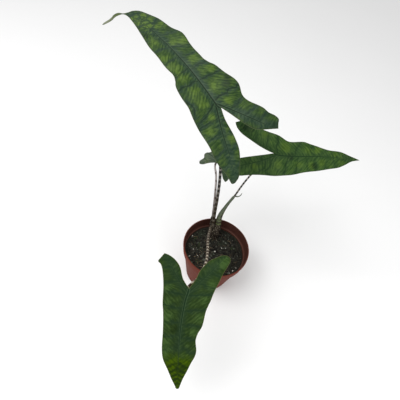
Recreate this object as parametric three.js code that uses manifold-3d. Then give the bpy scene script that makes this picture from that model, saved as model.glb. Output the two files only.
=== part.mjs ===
import * as THREE from 'three';
import { mergeVertices } from 'three/addons/utils/BufferGeometryUtils.js';
import Module from 'manifold-3d';

// A netted alocasia in a plastic nursery pot: four arrow-shaped leaves on mottled
// stalks that rise from one crown in the soil. Millimetres, +Z up, and the origin
// is the centre of the pot's underside.

const wasm = await Module();
wasm.setup();

const RADIANS = Math.PI / 180;

// Driving dimensions of the pot and what fills it
const CLEARANCE = 0.3;
const POT = {
  rimRadius: 60,
  height: 95,
  baseRadius: 42,
  wall: 1.2,
  floor: 1.6,
  lipHeight: 3.2,
  lipWidth: 1.6,
  collarDepth: 19,
  collarStep: 2.2,
  collarTaper: 1.4,
  drainHoles: 6,
  drainRadius: 4,
  drainCircle: 28,
  drainSides: 14,
  bevel: 0.7,
  sides: 60,
};
const SOIL = {
  level: 75.5,
  mound: 2.5,
  moundWidth: 16,
  hollow: 1.6,
  hollowReach: 50,
  sides: 48,
  rings: 9,
  longWave: { height: 1.1, x: 0.09, y: 0.08, shift: 0.5 },
  shortWave: { height: 0.7, x: 0.26, y: 0.23, shift: 1.9 },
  grains: 34,
  grainSmallest: 1.1,
  grainLargest: 2.4,
  grainReach: 49,
  grainClear: 17,
  grainRise: 0.2,
  seed: 11,
};
const POT_COLOUR = '#6e3226';
const SOIL_COLOUR = '#2b2622';
const CROWN_COLOUR = '#5f5844';
const SHEATH_COLOUR = '#7d8a63';
const STALK_COLOUR = '#7c7064';
const LEAF_COLOUR = '#3f6330';

// Each stalk follows a curve from the corm to its blade. Its radius is given at the corm
// and at the blade. Places along it are counted in points of its path: 1.5 lies half way
// between the second point and the third. A sleeve of the crown wraps it up to its mouth.
// Its end lies under the blade's midrib: it dips by the drop just before it gets there.
const STALK_END = { before: 5, drop: 3.5, after: 7, room: 0.2 };
const STALK_RINGS = { whole: 34, socket: 20, sides: 10 };
const SLEEVE_RINGS = { whole: 5, sides: 12 };
const STALKS = {
  a: {
    path: [[-8, 31, 60], [-10.5, 33, 78], [-14.3, 38, 95], [-17.5, 46.5, 119], [-21.5, 56, 160],
      [-27, 61, 200], [-35, 61.5, 243], [-45, 57, 286], [-55, 46, 328]],
    radius: [3.2, 1.7],
    start: 1.9,
    sleeve: { mouth: 2.4, radius: [6.6, 4.3] },
  },
  b: {
    path: [[-7, 31, 60], [-6, 33.5, 78], [-5.6, 42, 95], [-6.3, 52, 115], [-0.4, 62, 138],
      [8, 70.5, 160], [14, 77, 182], [21.5, 83, 205], [31, 85, 231]],
    radius: [1.7, 1.5],
    start: 2.2,
    sleeve: { mouth: 2.35, radius: [6.8, 6.3] },
  },
  c: {
    path: [[-9, 30, 60], [-13, 31, 80], [-17.5, 31.5, 97], [-19, 16, 113], [-20, -8, 129],
      [-19.5, -29, 142], [-18, -51, 156], [-17.5, -78, 173], [-20, -100, 184], [-25, -121, 193]],
    radius: [2.4, 2.0],
    start: 1.8,
    sleeve: { mouth: 2.35, radius: [7, 3.5] },
  },
  d: {
    path: [[-9, 33, 60], [-12.5, 38, 80], [-18, 47.5, 102], [-22.5, 61, 129], [-27.5, 74, 155],
      [-33.5, 86, 180]],
    radius: [2.4, 1.6],
    start: 1.8,
    sleeve: { mouth: 2.3, radius: [6.5, 3.6] },
  },
};
// The sheath narrows towards its mouth. Its radius is given at shares of its length.
const SHEATH = {
  start: 1.7,
  mouth: 5,
  radius: [[0, 5.3], [0.2, 5.3], [0.4, 4.2], [0.6, 3.1], [0.8, 2.5], [1, 2.4]],
  tip: [[9.4, 70.3, 158], [10.6, 70.2, 158.8], [12.6, 70.4, 158.8], [15.6, 71.2, 160],
    [17.8, 72, 163.5], [18.6, 73.4, 168]],
  tipRadius: [0.9, 0.35],
  rings: 12,
  sides: 14,
  tipRings: 7,
  tipSides: 6,
};
const CORM = {
  centre: [-8, 31],
  profile: [[0, 40], [5, 42], [9, 49], [10, 58], [9, 68], [8, 76], [6, 79], [0, 80]],
  sides: 14,
};
const ROOTS = {
  start: [-8, 31, 54],
  bend: 50,
  ends: [[-24, 10, 26], [14, 12, 24], [0, -10, 30], [-30, 26, 30], [16, 30, 34]],
  radius: [2, 0.9],
  rings: 6,
  sides: 6,
};

// A blade is bent along its midrib. The bend gives, at distances along the midrib from
// the stalk, the heading seen from above (degrees from +X) and the slope (degrees up).
// Outlines are [along, across] pairs in millimetres on the bent surface, with the left
// half, seen from above with the tip ahead, across the positive side. Rows are closest
// together at the ends of the lobes and at the tip, and columns beside the midrib.
const BLADE_THICKNESS = 0.8;
const KEEL = { depth: 0.8, width: 3.5 };
const COLUMNS = [0, 0.1, 0.38, 0.7, 1];
const ROW_EASE = { lobe: 1.5, body: 1.25 };
const WAVE = { reach: 25, most: 1.3, leftShift: 1.4 };
const LEAVES = {
  a: {
    seat: [-63, 31, 365],
    roll: -16,
    fold: 5,
    wave: 1.6,
    waveLength: 47,
    bend: [[-85, 143, 34], [0, 143, 20], [184, 143, -6], [200, 153, -12], [212, 158, -24],
      [224, 182, -50], [236, 166, -40], [250, 164, -32]],
    sinus: [-9, -3],
    midrib: [[0, 0], [60, -1], [120, -2], [170, -4], [196, -4], [206, -2], [216, 0], [249, 0]],
    left: {
      inner: [[-100, 31], [-95, 22], [-82, 13], [-66, 5], [-48, 2], [-25, 1]],
      outer: [[-100, 31], [-98, 36], [-84, 37], [-60, 40], [-25, 39], [-4, 38], [14, 34], [40, 32],
        [50, 27], [61, 23], [80, 23.5], [100, 22.3], [120, 19.3], [142, 14.5], [162, 8.5], [184, 3],
        [196, 0], [206, -1], [213, 3.5], [220, 5.2], [232, 5], [243, 4], [248, 2], [249, 0]],
    },
    right: {
      inner: [[-66, -55], [-63, -48], [-56, -32], [-50, -24], [-38, -16], [-22, -9]],
      outer: [[-66, -55], [-61, -58.5], [-56, -62], [-50, -59.3], [-43, -52.8], [-35, -49], [-20, -40],
        [-8, -37], [6, -40], [24, -36.5], [36, -34.3], [44, -31.5], [50, -27], [57, -24.2],
        [64, -24], [88, -26], [108, -28], [130, -25], [158, -22], [174, -20.5], [187, -17.5],
        [196, -12], [200, -7], [206, -3], [213, -4], [220, -5.2], [232, -5], [243, -4], [248, -2],
        [249, 0]],
    },
    rows: { lobe: 11, body: 34 },
  },
  b: {
    seat: [47, 77, 270],
    roll: 34,
    fold: 5,
    wave: 1.2,
    waveLength: 38,
    bend: [[-65, 12, 30], [0, 12, 15], [134, 12, -12]],
    sinus: [-5, 3],
    midrib: [[0, 0], [19, -3], [50, -3], [92, 0], [115, 2], [137, 5]],
    left: {
      inner: [[-53, 61], [-52, 52], [-47, 41], [-38, 30], [-24, 16], [-12, 7]],
      outer: [[-53, 61], [-45, 60.5], [-36, 55], [-25, 47], [-8, 36], [5, 29], [16, 21], [24, 19],
        [40, 19], [48, 17], [60, 14], [71, 11], [82, 9.5], [100, 10], [118, 7], [137, 5]],
    },
    right: {
      inner: [[-77, -5], [-69, 2], [-57, 4], [-38, 3], [-20, 2.5]],
      outer: [[-77, -5], [-78, -12], [-72, -19], [-62, -24], [-45, -26], [-24, -30], [-4, -33],
        [18, -33], [40, -29], [64, -25], [84, -20], [98, -16], [109, -10], [122, -1], [137, 5]],
    },
    rows: { lobe: 9, body: 20 },
  },
  c: {
    seat: [-34, -148, 200],
    roll: 0,
    fold: 8,
    wave: 1.2,
    waveLength: 36,
    bend: [[-50, -78, -14], [0, -78, -32], [145, -78, -58]],
    sinus: [-6, 1],
    midrib: [[0, 0], [13, -3], [37, -5], [64, -5], [96, -3], [134, 0]],
    left: {
      inner: [[-51, 50], [-51, 43], [-47, 34], [-42, 25], [-30, 14.5], [-18, 9]],
      outer: [[-51, 50], [-49, 53], [-44, 54], [-38, 51], [-28, 45], [-16, 40], [-3, 33.5], [8, 30],
        [22, 25.5], [40, 22], [50, 18], [60, 16], [72, 18], [82, 17], [92, 13.3], [105, 9],
        [116, 5.5], [128, 3], [132, 2.2], [134, 0]],
    },
    right: {
      inner: [[-48, -35], [-46, -28], [-41, -20], [-32, -13], [-18, -8]],
      outer: [[-48, -35], [-42, -39.5], [-37, -42.5], [-33, -38.5], [-24, -35.5], [-8, -33],
        [13, -32], [26, -30], [50, -28], [72, -27], [87, -23.8], [104, -15.6], [117, -9.5],
        [128, -4], [132, -2.4], [134, 0]],
    },
    rows: { lobe: 8, body: 20 },
  },
  d: {
    seat: [-38, 97, 205],
    roll: 14,
    fold: 6,
    wave: 0.8,
    waveLength: 30,
    bend: [[-35, 80, 20], [0, 80, 8], [78, 80, -12]],
    sinus: [-4, 0],
    midrib: [[0, 0], [30, 0], [76, 0]],
    left: {
      inner: [[-24, 26], [-21, 20], [-12, 11]],
      outer: [[-24, 26], [-19, 28], [-10, 24], [-4, 26], [1, 24], [8, 18], [22, 15], [44, 11],
        [62, 6], [76, 0]],
    },
    right: {
      inner: [[-30, -25], [-26, -20], [-18, -15], [-10, -8]],
      outer: [[-30, -25], [-30, -28], [-22, -30], [-10, -27], [4, -21], [22, -16], [44, -12],
        [62, -6], [76, 0]],
    },
    rows: { lobe: 6, body: 12 },
  },
};

// Closed bodies from three.js geometries

// Shared corners are merged and faces that have shrunk to an edge are left out.
function closedGeometry(geometry) {
  geometry.deleteAttribute('normal');
  geometry.deleteAttribute('uv');
  const merged = mergeVertices(geometry, 1e-4);
  const faces = [];
  for (let i = 0; i < merged.index.count; i += 3) {
    const [a, b, c] = [0, 1, 2].map((k) => merged.index.getX(i + k));
    if (a !== b && b !== c && c !== a) {
      faces.push(a, b, c);
    }
  }
  merged.setIndex(faces);
  return merged;
}

function toSolid(geometry) {
  const closed = closedGeometry(geometry);
  return new wasm.Manifold(new wasm.Mesh({
    numProp: 3,
    vertProperties: new Float32Array(closed.attributes.position.array),
    triVerts: new Uint32Array(closed.index.array),
  }));
}

function toGeometry(solid) {
  const mesh = solid.getMesh();
  const corners = [];
  for (let i = 0; i < mesh.vertProperties.length; i += mesh.numProp) {
    corners.push(...mesh.vertProperties.slice(i, i + 3));
  }
  const geometry = new THREE.BufferGeometry();
  geometry.setAttribute('position', new THREE.Float32BufferAttribute(corners, 3));
  geometry.setIndex(Array.from(mesh.triVerts));
  return geometry;
}

function joined(geometries) {
  return geometries.map(toSolid).reduce((whole, piece) => whole.add(piece));
}

// A profile of [radius, height] pairs is turned about the vertical axis.
function turned(profile, sides) {
  const points = profile.map(([radius, height]) => new THREE.Vector2(radius, height));
  return closedGeometry(new THREE.LatheGeometry(points, sides).rotateX(Math.PI / 2));
}

// A turned body is bent along a curve: its heights, from 0 to 1, become shares of the curve.
function bentAlong(curve, profile, sides) {
  const steps = 240;
  const frames = curve.computeFrenetFrames(steps);
  const geometry = closedGeometry(new THREE.LatheGeometry(
    profile.map(([radius, share]) => new THREE.Vector2(radius, share)),
    sides,
  ));
  const position = geometry.attributes.position;
  for (let i = 0; i < position.count; i += 1) {
    const share = position.getY(i);
    const frame = Math.round(share * steps);
    const point = curve.getPointAt(share)
      .addScaledVector(frames.normals[frame], position.getX(i))
      .addScaledVector(frames.binormals[frame], -position.getZ(i));
    position.setXYZ(i, point.x, point.y, point.z);
  }
  return geometry;
}

function mix(from, to, share) {
  return from + (to - from) * share;
}

// The value at x on a broken line of [x, value] pairs, carried on straight past its ends.
function onLine(pairs, x, column = 1) {
  let i = 0;
  while (i < pairs.length - 2 && x > pairs[i + 1][0]) {
    i += 1;
  }
  const share = (x - pairs[i][0]) / (pairs[i + 1][0] - pairs[i][0]);
  return mix(pairs[i][column], pairs[i + 1][column], share);
}

// Blades

// The midrib's course is added up in short steps from the stalk, both ways.
function midribCourse(leaf) {
  const step = 1;
  const reach = { tip: 260, lobe: -130 };
  const course = new Map([[0, new THREE.Vector3(...leaf.seat)]]);
  for (const way of [1, -1]) {
    const point = course.get(0).clone();
    const end = way > 0 ? reach.tip : reach.lobe;
    for (let along = 0; along !== end; along += way * step) {
      const { tangent } = midribFrame(leaf, along + (way * step) / 2);
      point.addScaledVector(tangent, way * step);
      course.set(along + way * step, point.clone());
    }
  }
  return course;
}

function midribFrame(leaf, along) {
  const heading = onLine(leaf.bend, along, 1) * RADIANS;
  const slope = onLine(leaf.bend, along, 2) * RADIANS;
  const roll = leaf.roll * RADIANS;
  const ahead = new THREE.Vector3(Math.cos(heading), Math.sin(heading), 0);
  const level = new THREE.Vector3(-Math.sin(heading), Math.cos(heading), 0);
  const vertical = new THREE.Vector3(0, 0, 1);
  const tangent = ahead.clone().multiplyScalar(Math.cos(slope)).addScaledVector(vertical, Math.sin(slope));
  const upright = ahead.clone().multiplyScalar(-Math.sin(slope)).addScaledVector(vertical, Math.cos(slope));
  const left = level.clone().multiplyScalar(Math.cos(roll)).addScaledVector(upright, Math.sin(roll));
  const up = level.clone().multiplyScalar(-Math.sin(roll)).addScaledVector(upright, Math.cos(roll));
  return { tangent, left, up };
}

// The point of a blade's middle surface, raised by lift along its upward direction.
function bladePoint(leaf, along, across, lift = 0) {
  const below = Math.floor(along);
  const centre = leaf.course.get(below).clone().lerp(leaf.course.get(below + 1), along - below);
  const { left, up } = midribFrame(leaf, along);
  const fold = leaf.fold * RADIANS;
  const beside = Math.abs(across - onLine(leaf.midrib, along));
  const strength = Math.min(WAVE.most, (beside / WAVE.reach) ** 2);
  const phase = (2 * Math.PI * along) / leaf.waveLength + (across > 0 ? WAVE.leftShift : 0);
  const rise = beside * Math.sin(fold) + leaf.wave * strength * Math.sin(phase);
  return centre.addScaledVector(left, across * Math.cos(fold)).addScaledVector(up, rise + lift);
}

function splineThrough(pairs) {
  return new THREE.SplineCurve(pairs.map(([along, across]) => new THREE.Vector2(along, across)));
}

// The share of a margin's length, from the lobe's end, at which it passes the sinus.
function shareBeside(margin, along) {
  let [low, high] = [0, 1];
  for (let i = 0; i < 30; i += 1) {
    const middle = (low + high) / 2;
    if (margin.getPointAt(middle).x < along) {
      low = middle;
    } else {
      high = middle;
    }
  }
  return low;
}

// Rows of one half run from its inner line, the lobe's inner margin and then the midrib,
// to its outer margin.
function halfRows(leaf, half) {
  const innerMargin = splineThrough([...half.inner, leaf.sinus]);
  const midrib = splineThrough([leaf.sinus, ...leaf.midrib]);
  const outerMargin = splineThrough(half.outer);
  const shoulder = shareBeside(outerMargin, leaf.sinus[0]);
  const rows = [];
  const addRow = (inner, outer) => {
    rows.push(COLUMNS.map((share) => inner.clone().lerp(outer, share)));
  };
  for (let i = 0; i < leaf.rows.lobe; i += 1) {
    const share = (i / leaf.rows.lobe) ** ROW_EASE.lobe;
    addRow(innerMargin.getPointAt(share), outerMargin.getPointAt(share * shoulder));
  }
  for (let i = 0; i <= leaf.rows.body; i += 1) {
    const share = 1 - (1 - i / leaf.rows.body) ** ROW_EASE.body;
    addRow(midrib.getPointAt(share), outerMargin.getPointAt(mix(shoulder, 1, share)));
  }
  return rows;
}

// The open sheet of a blade: its corners, and its faces seen from above.
function bladeSheet(leaf) {
  const corners = [];
  const known = new Map();
  const faces = [];
  const corner = (point) => {
    const key = `${point.x.toFixed(2)} ${point.y.toFixed(2)}`;
    if (!known.has(key)) {
      known.set(key, corners.length);
      corners.push(point);
    }
    return known.get(key);
  };
  const addFace = (a, b, c) => {
    if (a !== b && b !== c && c !== a) {
      faces.push([a, b, c]);
    }
  };
  for (const side of ['left', 'right']) {
    const rows = halfRows(leaf, leaf[side]).map((row) => row.map(corner));
    for (let i = 0; i < rows.length - 1; i += 1) {
      for (let j = 0; j < rows[i].length - 1; j += 1) {
        const [a, b, c, d] = [rows[i][j], rows[i + 1][j], rows[i + 1][j + 1], rows[i][j + 1]];
        if (side === 'left') {
          addFace(a, b, c);
          addFace(a, c, d);
        } else {
          addFace(a, c, b);
          addFace(a, d, c);
        }
      }
    }
  }
  return { corners, faces };
}

// A sheet is closed by a second sheet below it and a band round its edge.
function thickened(faces, above, below) {
  const corners = [...above, ...below].flatMap((point) => point.toArray());
  const under = above.length;
  const sides = new Set(faces.flatMap(([a, b, c]) => [`${a} ${b}`, `${b} ${c}`, `${c} ${a}`]));
  const index = [];
  for (const [a, b, c] of faces) {
    index.push(a, b, c, a + under, c + under, b + under);
    for (const [from, to] of [[a, b], [b, c], [c, a]]) {
      if (!sides.has(`${to} ${from}`)) {
        index.push(to, from, from + under, to, from + under, to + under);
      }
    }
  }
  const geometry = new THREE.BufferGeometry();
  geometry.setAttribute('position', new THREE.Float32BufferAttribute(corners, 3));
  geometry.setIndex(index);
  return geometry;
}

// The keel under the midrib is deepest at the stalk and fades towards the tip.
function keelDepth(leaf, along, across) {
  const tip = leaf.midrib.at(-1)[0];
  const fade = THREE.MathUtils.clamp(1 - along / tip, 0, 1);
  const beside = Math.abs(across - onLine(leaf.midrib, along));
  return along < 0 ? 0 : KEEL.depth * fade * Math.max(0, 1 - beside / KEEL.width);
}

function bladeGeometry(leaf) {
  const { corners, faces } = bladeSheet(leaf);
  const half = BLADE_THICKNESS / 2;
  const above = corners.map(({ x, y }) => bladePoint(leaf, x, y, half));
  const below = corners.map(({ x, y }) => bladePoint(leaf, x, y, -half - keelDepth(leaf, x, y)));
  return thickened(faces, above, below);
}

// Stalks

// A stalk's curve goes on from its own points to just under the blade, along the midrib.
function stalkCurve(stalk, leaf) {
  const under = stalk.radius[1] + BLADE_THICKNESS / 2 + KEEL.depth + CLEARANCE + STALK_END.room;
  const approach = bladePoint(leaf, -STALK_END.before, 0, -under - STALK_END.drop);
  const end = bladePoint(leaf, STALK_END.after, 0, -under);
  return new THREE.CatmullRomCurve3([
    ...stalk.path.map((point) => new THREE.Vector3(...point)),
    approach,
    end,
  ]);
}

// The share of a curve's length at which it passes a place counted in its points.
function shareOf(curve, place) {
  const steps = 1000;
  const lengths = curve.getLengths(steps);
  return lengths[Math.round((place / (curve.points.length - 1)) * steps)] / lengths.at(-1);
}

// A closed profile for a body bent along a curve from one share of it to another. Its radius
// is given at shares of its own length.
function rodProfile(radii, from, to, rings, grow = 0) {
  const profile = [[0, from]];
  for (let i = 0; i <= rings; i += 1) {
    const share = i / rings;
    profile.push([onLine(radii, share) + grow, mix(from, to, share)]);
  }
  profile.push([0, to]);
  return profile;
}

function taper([first, last]) {
  return [[0, first], [1, last]];
}

// The radii that a stalk has between two shares of its curve.
function stalkRadii(stalk, from, to) {
  return taper([mix(...stalk.radius, from), mix(...stalk.radius, to)]);
}

function stalkGeometry(key) {
  const [stalk, curve] = [STALKS[key], curves[key]];
  const from = shareOf(curve, stalk.start);
  const profile = rodProfile(stalkRadii(stalk, from, 1), from, 1, STALK_RINGS.whole);
  return bentAlong(curve, profile, STALK_RINGS.sides);
}

// The room that a stalk needs in whatever it stands in: it has the stalk's own rings, wider,
// and its floor is lower.
function stalkSocket(key) {
  const [stalk, curve] = [STALKS[key], curves[key]];
  const from = shareOf(curve, stalk.start);
  const to = mix(from, 1, STALK_RINGS.socket / STALK_RINGS.whole);
  const profile = rodProfile(stalkRadii(stalk, from, to), from, to, STALK_RINGS.socket, CLEARANCE);
  const floor = from - CLEARANCE / curve.getLength();
  profile[0][1] = floor;
  profile[1][1] = floor;
  return toSolid(bentAlong(curve, profile, STALK_RINGS.sides));
}

// The sheath round the lower half of the second stalk, with its free tip.
function sheathBody(grow) {
  const curve = curves.b;
  const from = shareOf(curve, SHEATH.start) - grow / curve.getLength();
  const to = shareOf(curve, SHEATH.mouth);
  return toSolid(bentAlong(curve, rodProfile(SHEATH.radius, from, to, SHEATH.rings, grow), SHEATH.sides));
}

function sheathSolid() {
  const tipCurve = new THREE.CatmullRomCurve3(SHEATH.tip.map((point) => new THREE.Vector3(...point)));
  const tipProfile = rodProfile(taper(SHEATH.tipRadius), 0, 1, SHEATH.tipRings);
  const tip = toSolid(bentAlong(tipCurve, tipProfile, SHEATH.tipSides));
  return sheathBody(0).add(tip).subtract(stalkSocket('b'));
}

// The crown: corm and roots below the surface, and above it a sleeve round each stalk.

function rootGeometry(end, grow) {
  const [x, y] = end;
  const curve = new THREE.QuadraticBezierCurve3(
    new THREE.Vector3(...ROOTS.start),
    new THREE.Vector3(x, y, ROOTS.bend),
    new THREE.Vector3(...end),
  );
  const to = 1 - (CLEARANCE - grow) / curve.getLength();
  return bentAlong(curve, rodProfile(taper(ROOTS.radius), 0, to, ROOTS.rings, grow), ROOTS.sides);
}

function crownBody(grow) {
  const cormProfile = CORM.profile.map(([radius, height]) => [radius && radius + grow, height]);
  const corm = turned(cormProfile, CORM.sides).translate(...CORM.centre, 0);
  const sleeves = Object.entries(STALKS).map(([key, { sleeve }]) => {
    const to = shareOf(curves[key], sleeve.mouth);
    const profile = rodProfile(taper(sleeve.radius), 0, to, SLEEVE_RINGS.whole, grow);
    return bentAlong(curves[key], profile, SLEEVE_RINGS.sides);
  });
  const roots = ROOTS.ends.map((end) => rootGeometry(end, grow));
  return joined([corm, ...sleeves, ...roots]);
}

function crownSolid() {
  const sockets = Object.keys(STALKS)
    .filter((key) => key !== 'b')
    .map(stalkSocket);
  return [...sockets, sheathBody(CLEARANCE)].reduce((body, socket) => body.subtract(socket), crownBody(0));
}

// Pot and soil

function potMeasures() {
  const ledge = POT.height - POT.collarDepth;
  const collarTop = POT.rimRadius - POT.lipWidth / 2;
  const collarFoot = collarTop - POT.collarTaper;
  const neck = collarFoot - POT.collarStep;
  return { ledge, collarTop, collarFoot, neck };
}

function potSolid() {
  const { ledge, collarTop, collarFoot, neck } = potMeasures();
  const { height, rimRadius, baseRadius, wall, floor, lipHeight, lipWidth } = POT;
  const edge = POT.bevel;
  const shell = turned([
    [0, 0],
    [baseRadius - 1, 0],
    [baseRadius, 1],
    [neck, ledge - edge],
    [collarFoot - edge, ledge],
    [collarFoot, ledge + edge],
    [collarTop, height - lipHeight],
    [rimRadius, height - lipHeight + edge],
    [rimRadius, height - edge],
    [rimRadius - edge, height],
    [rimRadius - lipWidth, height],
    [rimRadius - lipWidth - edge, height - edge],
    [collarTop - wall, height - lipHeight - edge],
    [collarFoot - wall, ledge + wall + edge],
    [collarFoot - wall - edge, ledge + wall],
    [neck - wall + edge, ledge + wall - edge / 2],
    [neck - wall, ledge],
    [baseRadius - wall, floor],
    [0, floor],
  ], POT.sides);
  let solid = toSolid(shell);
  for (let i = 0; i < POT.drainHoles; i += 1) {
    const angle = (i / POT.drainHoles) * 2 * Math.PI;
    const hole = new THREE.CylinderGeometry(POT.drainRadius, POT.drainRadius, 4 * floor, POT.drainSides)
      .rotateX(Math.PI / 2)
      .translate(POT.drainCircle * Math.cos(angle), POT.drainCircle * Math.sin(angle), 0);
    solid = solid.subtract(toSolid(hole));
  }
  return solid;
}

// The soil's surface is uneven: it rises round the crown and sinks towards the wall.
function soilHeight(x, y) {
  const [cx, cy] = CORM.centre;
  const mound = SOIL.mound * Math.exp(-((x - cx) ** 2 + (y - cy) ** 2) / SOIL.moundWidth ** 2);
  const waves = [SOIL.longWave, SOIL.shortWave]
    .map((wave) => wave.height * Math.sin(wave.x * x + wave.shift) * Math.cos(wave.y * y));
  const hollow = SOIL.hollow * (Math.hypot(x, y) / SOIL.hollowReach) ** 4;
  return SOIL.level + mound + waves[0] + waves[1] - hollow;
}

function seeded(seed) {
  let state = seed;
  return () => {
    state = (state * 1103515245 + 12345) % 2147483648;
    return state / 2147483648;
  };
}

// Grains of perlite and crumbs stand half out of the surface, clear of crown and wall.
function grainGeometries() {
  const random = seeded(SOIL.seed);
  const grains = [];
  const [cx, cy] = CORM.centre;
  while (grains.length < SOIL.grains) {
    const angle = random() * 2 * Math.PI;
    const distance = SOIL.grainReach * Math.sqrt(random());
    const radius = mix(SOIL.grainSmallest, SOIL.grainLargest, random());
    const [x, y] = [distance * Math.cos(angle), distance * Math.sin(angle)];
    if (Math.hypot(x - cx, y - cy) > SOIL.grainClear) {
      grains.push(new THREE.IcosahedronGeometry(radius, 0)
        .rotateZ(angle)
        .scale(1, 0.85, 0.8)
        .translate(x, y, soilHeight(x, y) + SOIL.grainRise * radius));
    }
  }
  return grains;
}

function soilSolid() {
  const { ledge, neck } = potMeasures();
  const inside = [[POT.floor, POT.baseRadius - POT.wall], [ledge, neck - POT.wall]];
  const beside = (height) => onLine(inside, height) - CLEARANCE;
  const bottom = POT.floor + CLEARANCE;
  const profile = [[0, bottom], [beside(bottom), bottom]];
  for (let i = SOIL.rings; i >= 0; i -= 1) {
    profile.push([(beside(SOIL.level - 2) * i) / SOIL.rings, SOIL.level]);
  }
  const block = turned(profile, SOIL.sides);
  const position = block.attributes.position;
  for (let i = 0; i < position.count; i += 1) {
    if (position.getZ(i) > SOIL.level - 1) {
      position.setZ(i, soilHeight(position.getX(i), position.getY(i)));
    }
  }
  return joined([block, ...grainGeometries()]).subtract(crownBody(CLEARANCE));
}

// Assembly

for (const leaf of Object.values(LEAVES)) {
  leaf.course = midribCourse(leaf);
}
const curves = Object.fromEntries(
  Object.keys(STALKS).map((key) => [key, stalkCurve(STALKS[key], LEAVES[key])]),
);

function piece(name, geometry, colour, roughness) {
  const material = new THREE.MeshStandardMaterial({ color: colour, roughness, metalness: 0 });
  const mesh = new THREE.Mesh(geometry, material);
  mesh.name = name;
  return mesh;
}

const plant = new THREE.Group();
plant.add(piece('pot', toGeometry(potSolid()), POT_COLOUR, 0.5));
plant.add(piece('soil', toGeometry(soilSolid()), SOIL_COLOUR, 0.95));
plant.add(piece('crown', toGeometry(crownSolid()), CROWN_COLOUR, 0.7));
plant.add(piece('sheath_b', toGeometry(sheathSolid()), SHEATH_COLOUR, 0.55));
for (const key of Object.keys(STALKS)) {
  plant.add(piece(`petiole_${key}`, stalkGeometry(key), STALK_COLOUR, 0.55));
}
for (const [key, leaf] of Object.entries(LEAVES)) {
  plant.add(piece(`leaf_${key}`, bladeGeometry(leaf), LEAF_COLOUR, 0.45));
}

export default plant;
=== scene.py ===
import math

import bpy
import numpy as np
from mathutils import Matrix, Vector, noise


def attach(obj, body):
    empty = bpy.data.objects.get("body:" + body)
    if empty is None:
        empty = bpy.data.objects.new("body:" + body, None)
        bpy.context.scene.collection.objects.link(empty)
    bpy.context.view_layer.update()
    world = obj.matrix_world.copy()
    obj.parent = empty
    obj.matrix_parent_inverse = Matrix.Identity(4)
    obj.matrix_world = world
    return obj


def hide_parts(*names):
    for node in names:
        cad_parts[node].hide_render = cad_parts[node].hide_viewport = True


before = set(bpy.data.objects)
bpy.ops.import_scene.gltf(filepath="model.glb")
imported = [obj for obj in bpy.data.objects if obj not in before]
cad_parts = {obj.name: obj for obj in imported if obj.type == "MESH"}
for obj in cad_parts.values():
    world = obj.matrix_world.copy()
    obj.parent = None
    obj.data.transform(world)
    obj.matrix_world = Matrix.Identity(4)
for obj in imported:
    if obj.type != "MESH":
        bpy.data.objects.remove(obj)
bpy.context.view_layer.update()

# A netted alocasia in a plastic nursery pot. Shapes are worked out in millimetres, in the
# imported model's frame, and become metres when a mesh is made.

MM = 0.001

# Camera, fitted to the ellipse of the pot's rim

CAMERA = {"place": (-50, -340, 629), "elevation": 51, "roll": -15, "lens": 31.5, "sensor": 36}

# Measures in millimetres and degrees. The pot, the soil's surface and its grains, the corm, the
# curves of the stalks and the sheath and the shapes of the blades have the same in the solids.

POT = {
    "rim_radius": 60,
    "height": 95,
    "base_radius": 42,
    "wall": 1.2,
    "floor": 1.6,
    "lip_height": 3.2,
    "lip_width": 1.6,
    "collar_depth": 19,
    "collar_step": 2.2,
    "collar_taper": 1.4,
    "drain_holes": 6,
    "drain_radius": 4,
    "drain_circle": 28,
}

# The height of the ledge under the collar, and the wall's outer radii at the collar's top and foot
# and at the neck below it
LEDGE = POT["height"] - POT["collar_depth"]
COLLAR_TOP = POT["rim_radius"] - POT["lip_width"] / 2
COLLAR_FOOT = COLLAR_TOP - POT["collar_taper"]
NECK = COLLAR_FOOT - POT["collar_step"]

# The soil's waves are (height, rate along x, rate along y, shift), and its roughness is (height, lump
# size, seed). The entries up to the seed, apart from the roughness, are the solid's, and the ones
# after it dress the surface: the perlite grains that stand out are (x, y, radius), and the patches
# of moss (x, y, spread, strands).
SOIL = {
    "level": 75.5,
    "mound": 2.5,
    "mound_width": 16,
    "hollow": 1.6,
    "hollow_reach": 50,
    "waves": [(1.1, 0.09, 0.08, 0.5), (0.7, 0.26, 0.23, 1.9)],
    "rough": [(1.1, 6, 1), (0.8, 2.6, 2), (0.4, 1.2, 3)],
    "crumb_reach": 50.0,
    "crown_clear": 9.5,
    "grains": 34,
    "grain_radius": (1.1, 2.4),
    "grain_reach": 49,
    "grain_clear": 17,
    "grain_rise": 0.2,
    "seed": 11,
    "crumbs": 1150,
    "chips": 70,
    "small_grains": 14,
    "fibres": 58,
    "fibre_reach": 47,
    "moss_reach": 51,
    "perlite": [(-46.3, 20.5, 1.0), (-38.6, -7.5, 0.9), (-42.4, -22.6, 0.9), (-28.4, -18.3, 0.7),
                (0.8, -2.0, 1.2), (19.0, 11.2, 0.8), (11.3, 8.8, 0.7), (39.0, -29.9, 1.2),
                (34.0, -36.0, 0.7), (44.0, -22.0, 0.8)],
    "moss": [(-34, 2, 9, 90), (-22, -30, 8, 60), (-42, 18, 5, 30), (18, -36, 7, 40), (34, 14, 6, 24)],
}

# The crown's dry scales are (angle in degrees, height, distance out), its surface roots angles in
# radians, and its deep roots where they end.
CORM = {
    "centre": (-8, 31),
    "profile": [(0, 40), (5, 42), (9, 49), (10, 58), (9, 68), (8, 76), (6, 79), (0, 80)],
    "scales": [(200, 17, 8.2), (262, 15, 7.6), (318, 14, 7.4), (20, 16, 7.0), (92, 18, 8.4),
               (150, 15, 8.0)],
    "scale_width": 9.5,
    "surface_roots": (0.4, 1.3, 2.2, 3.4, 4.3, 5.4),
    "deep_roots": [(-24, 10, 26), (14, 12, 24), (0, -10, 30), (-30, 26, 30), (16, 30, 34)],
}

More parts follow.
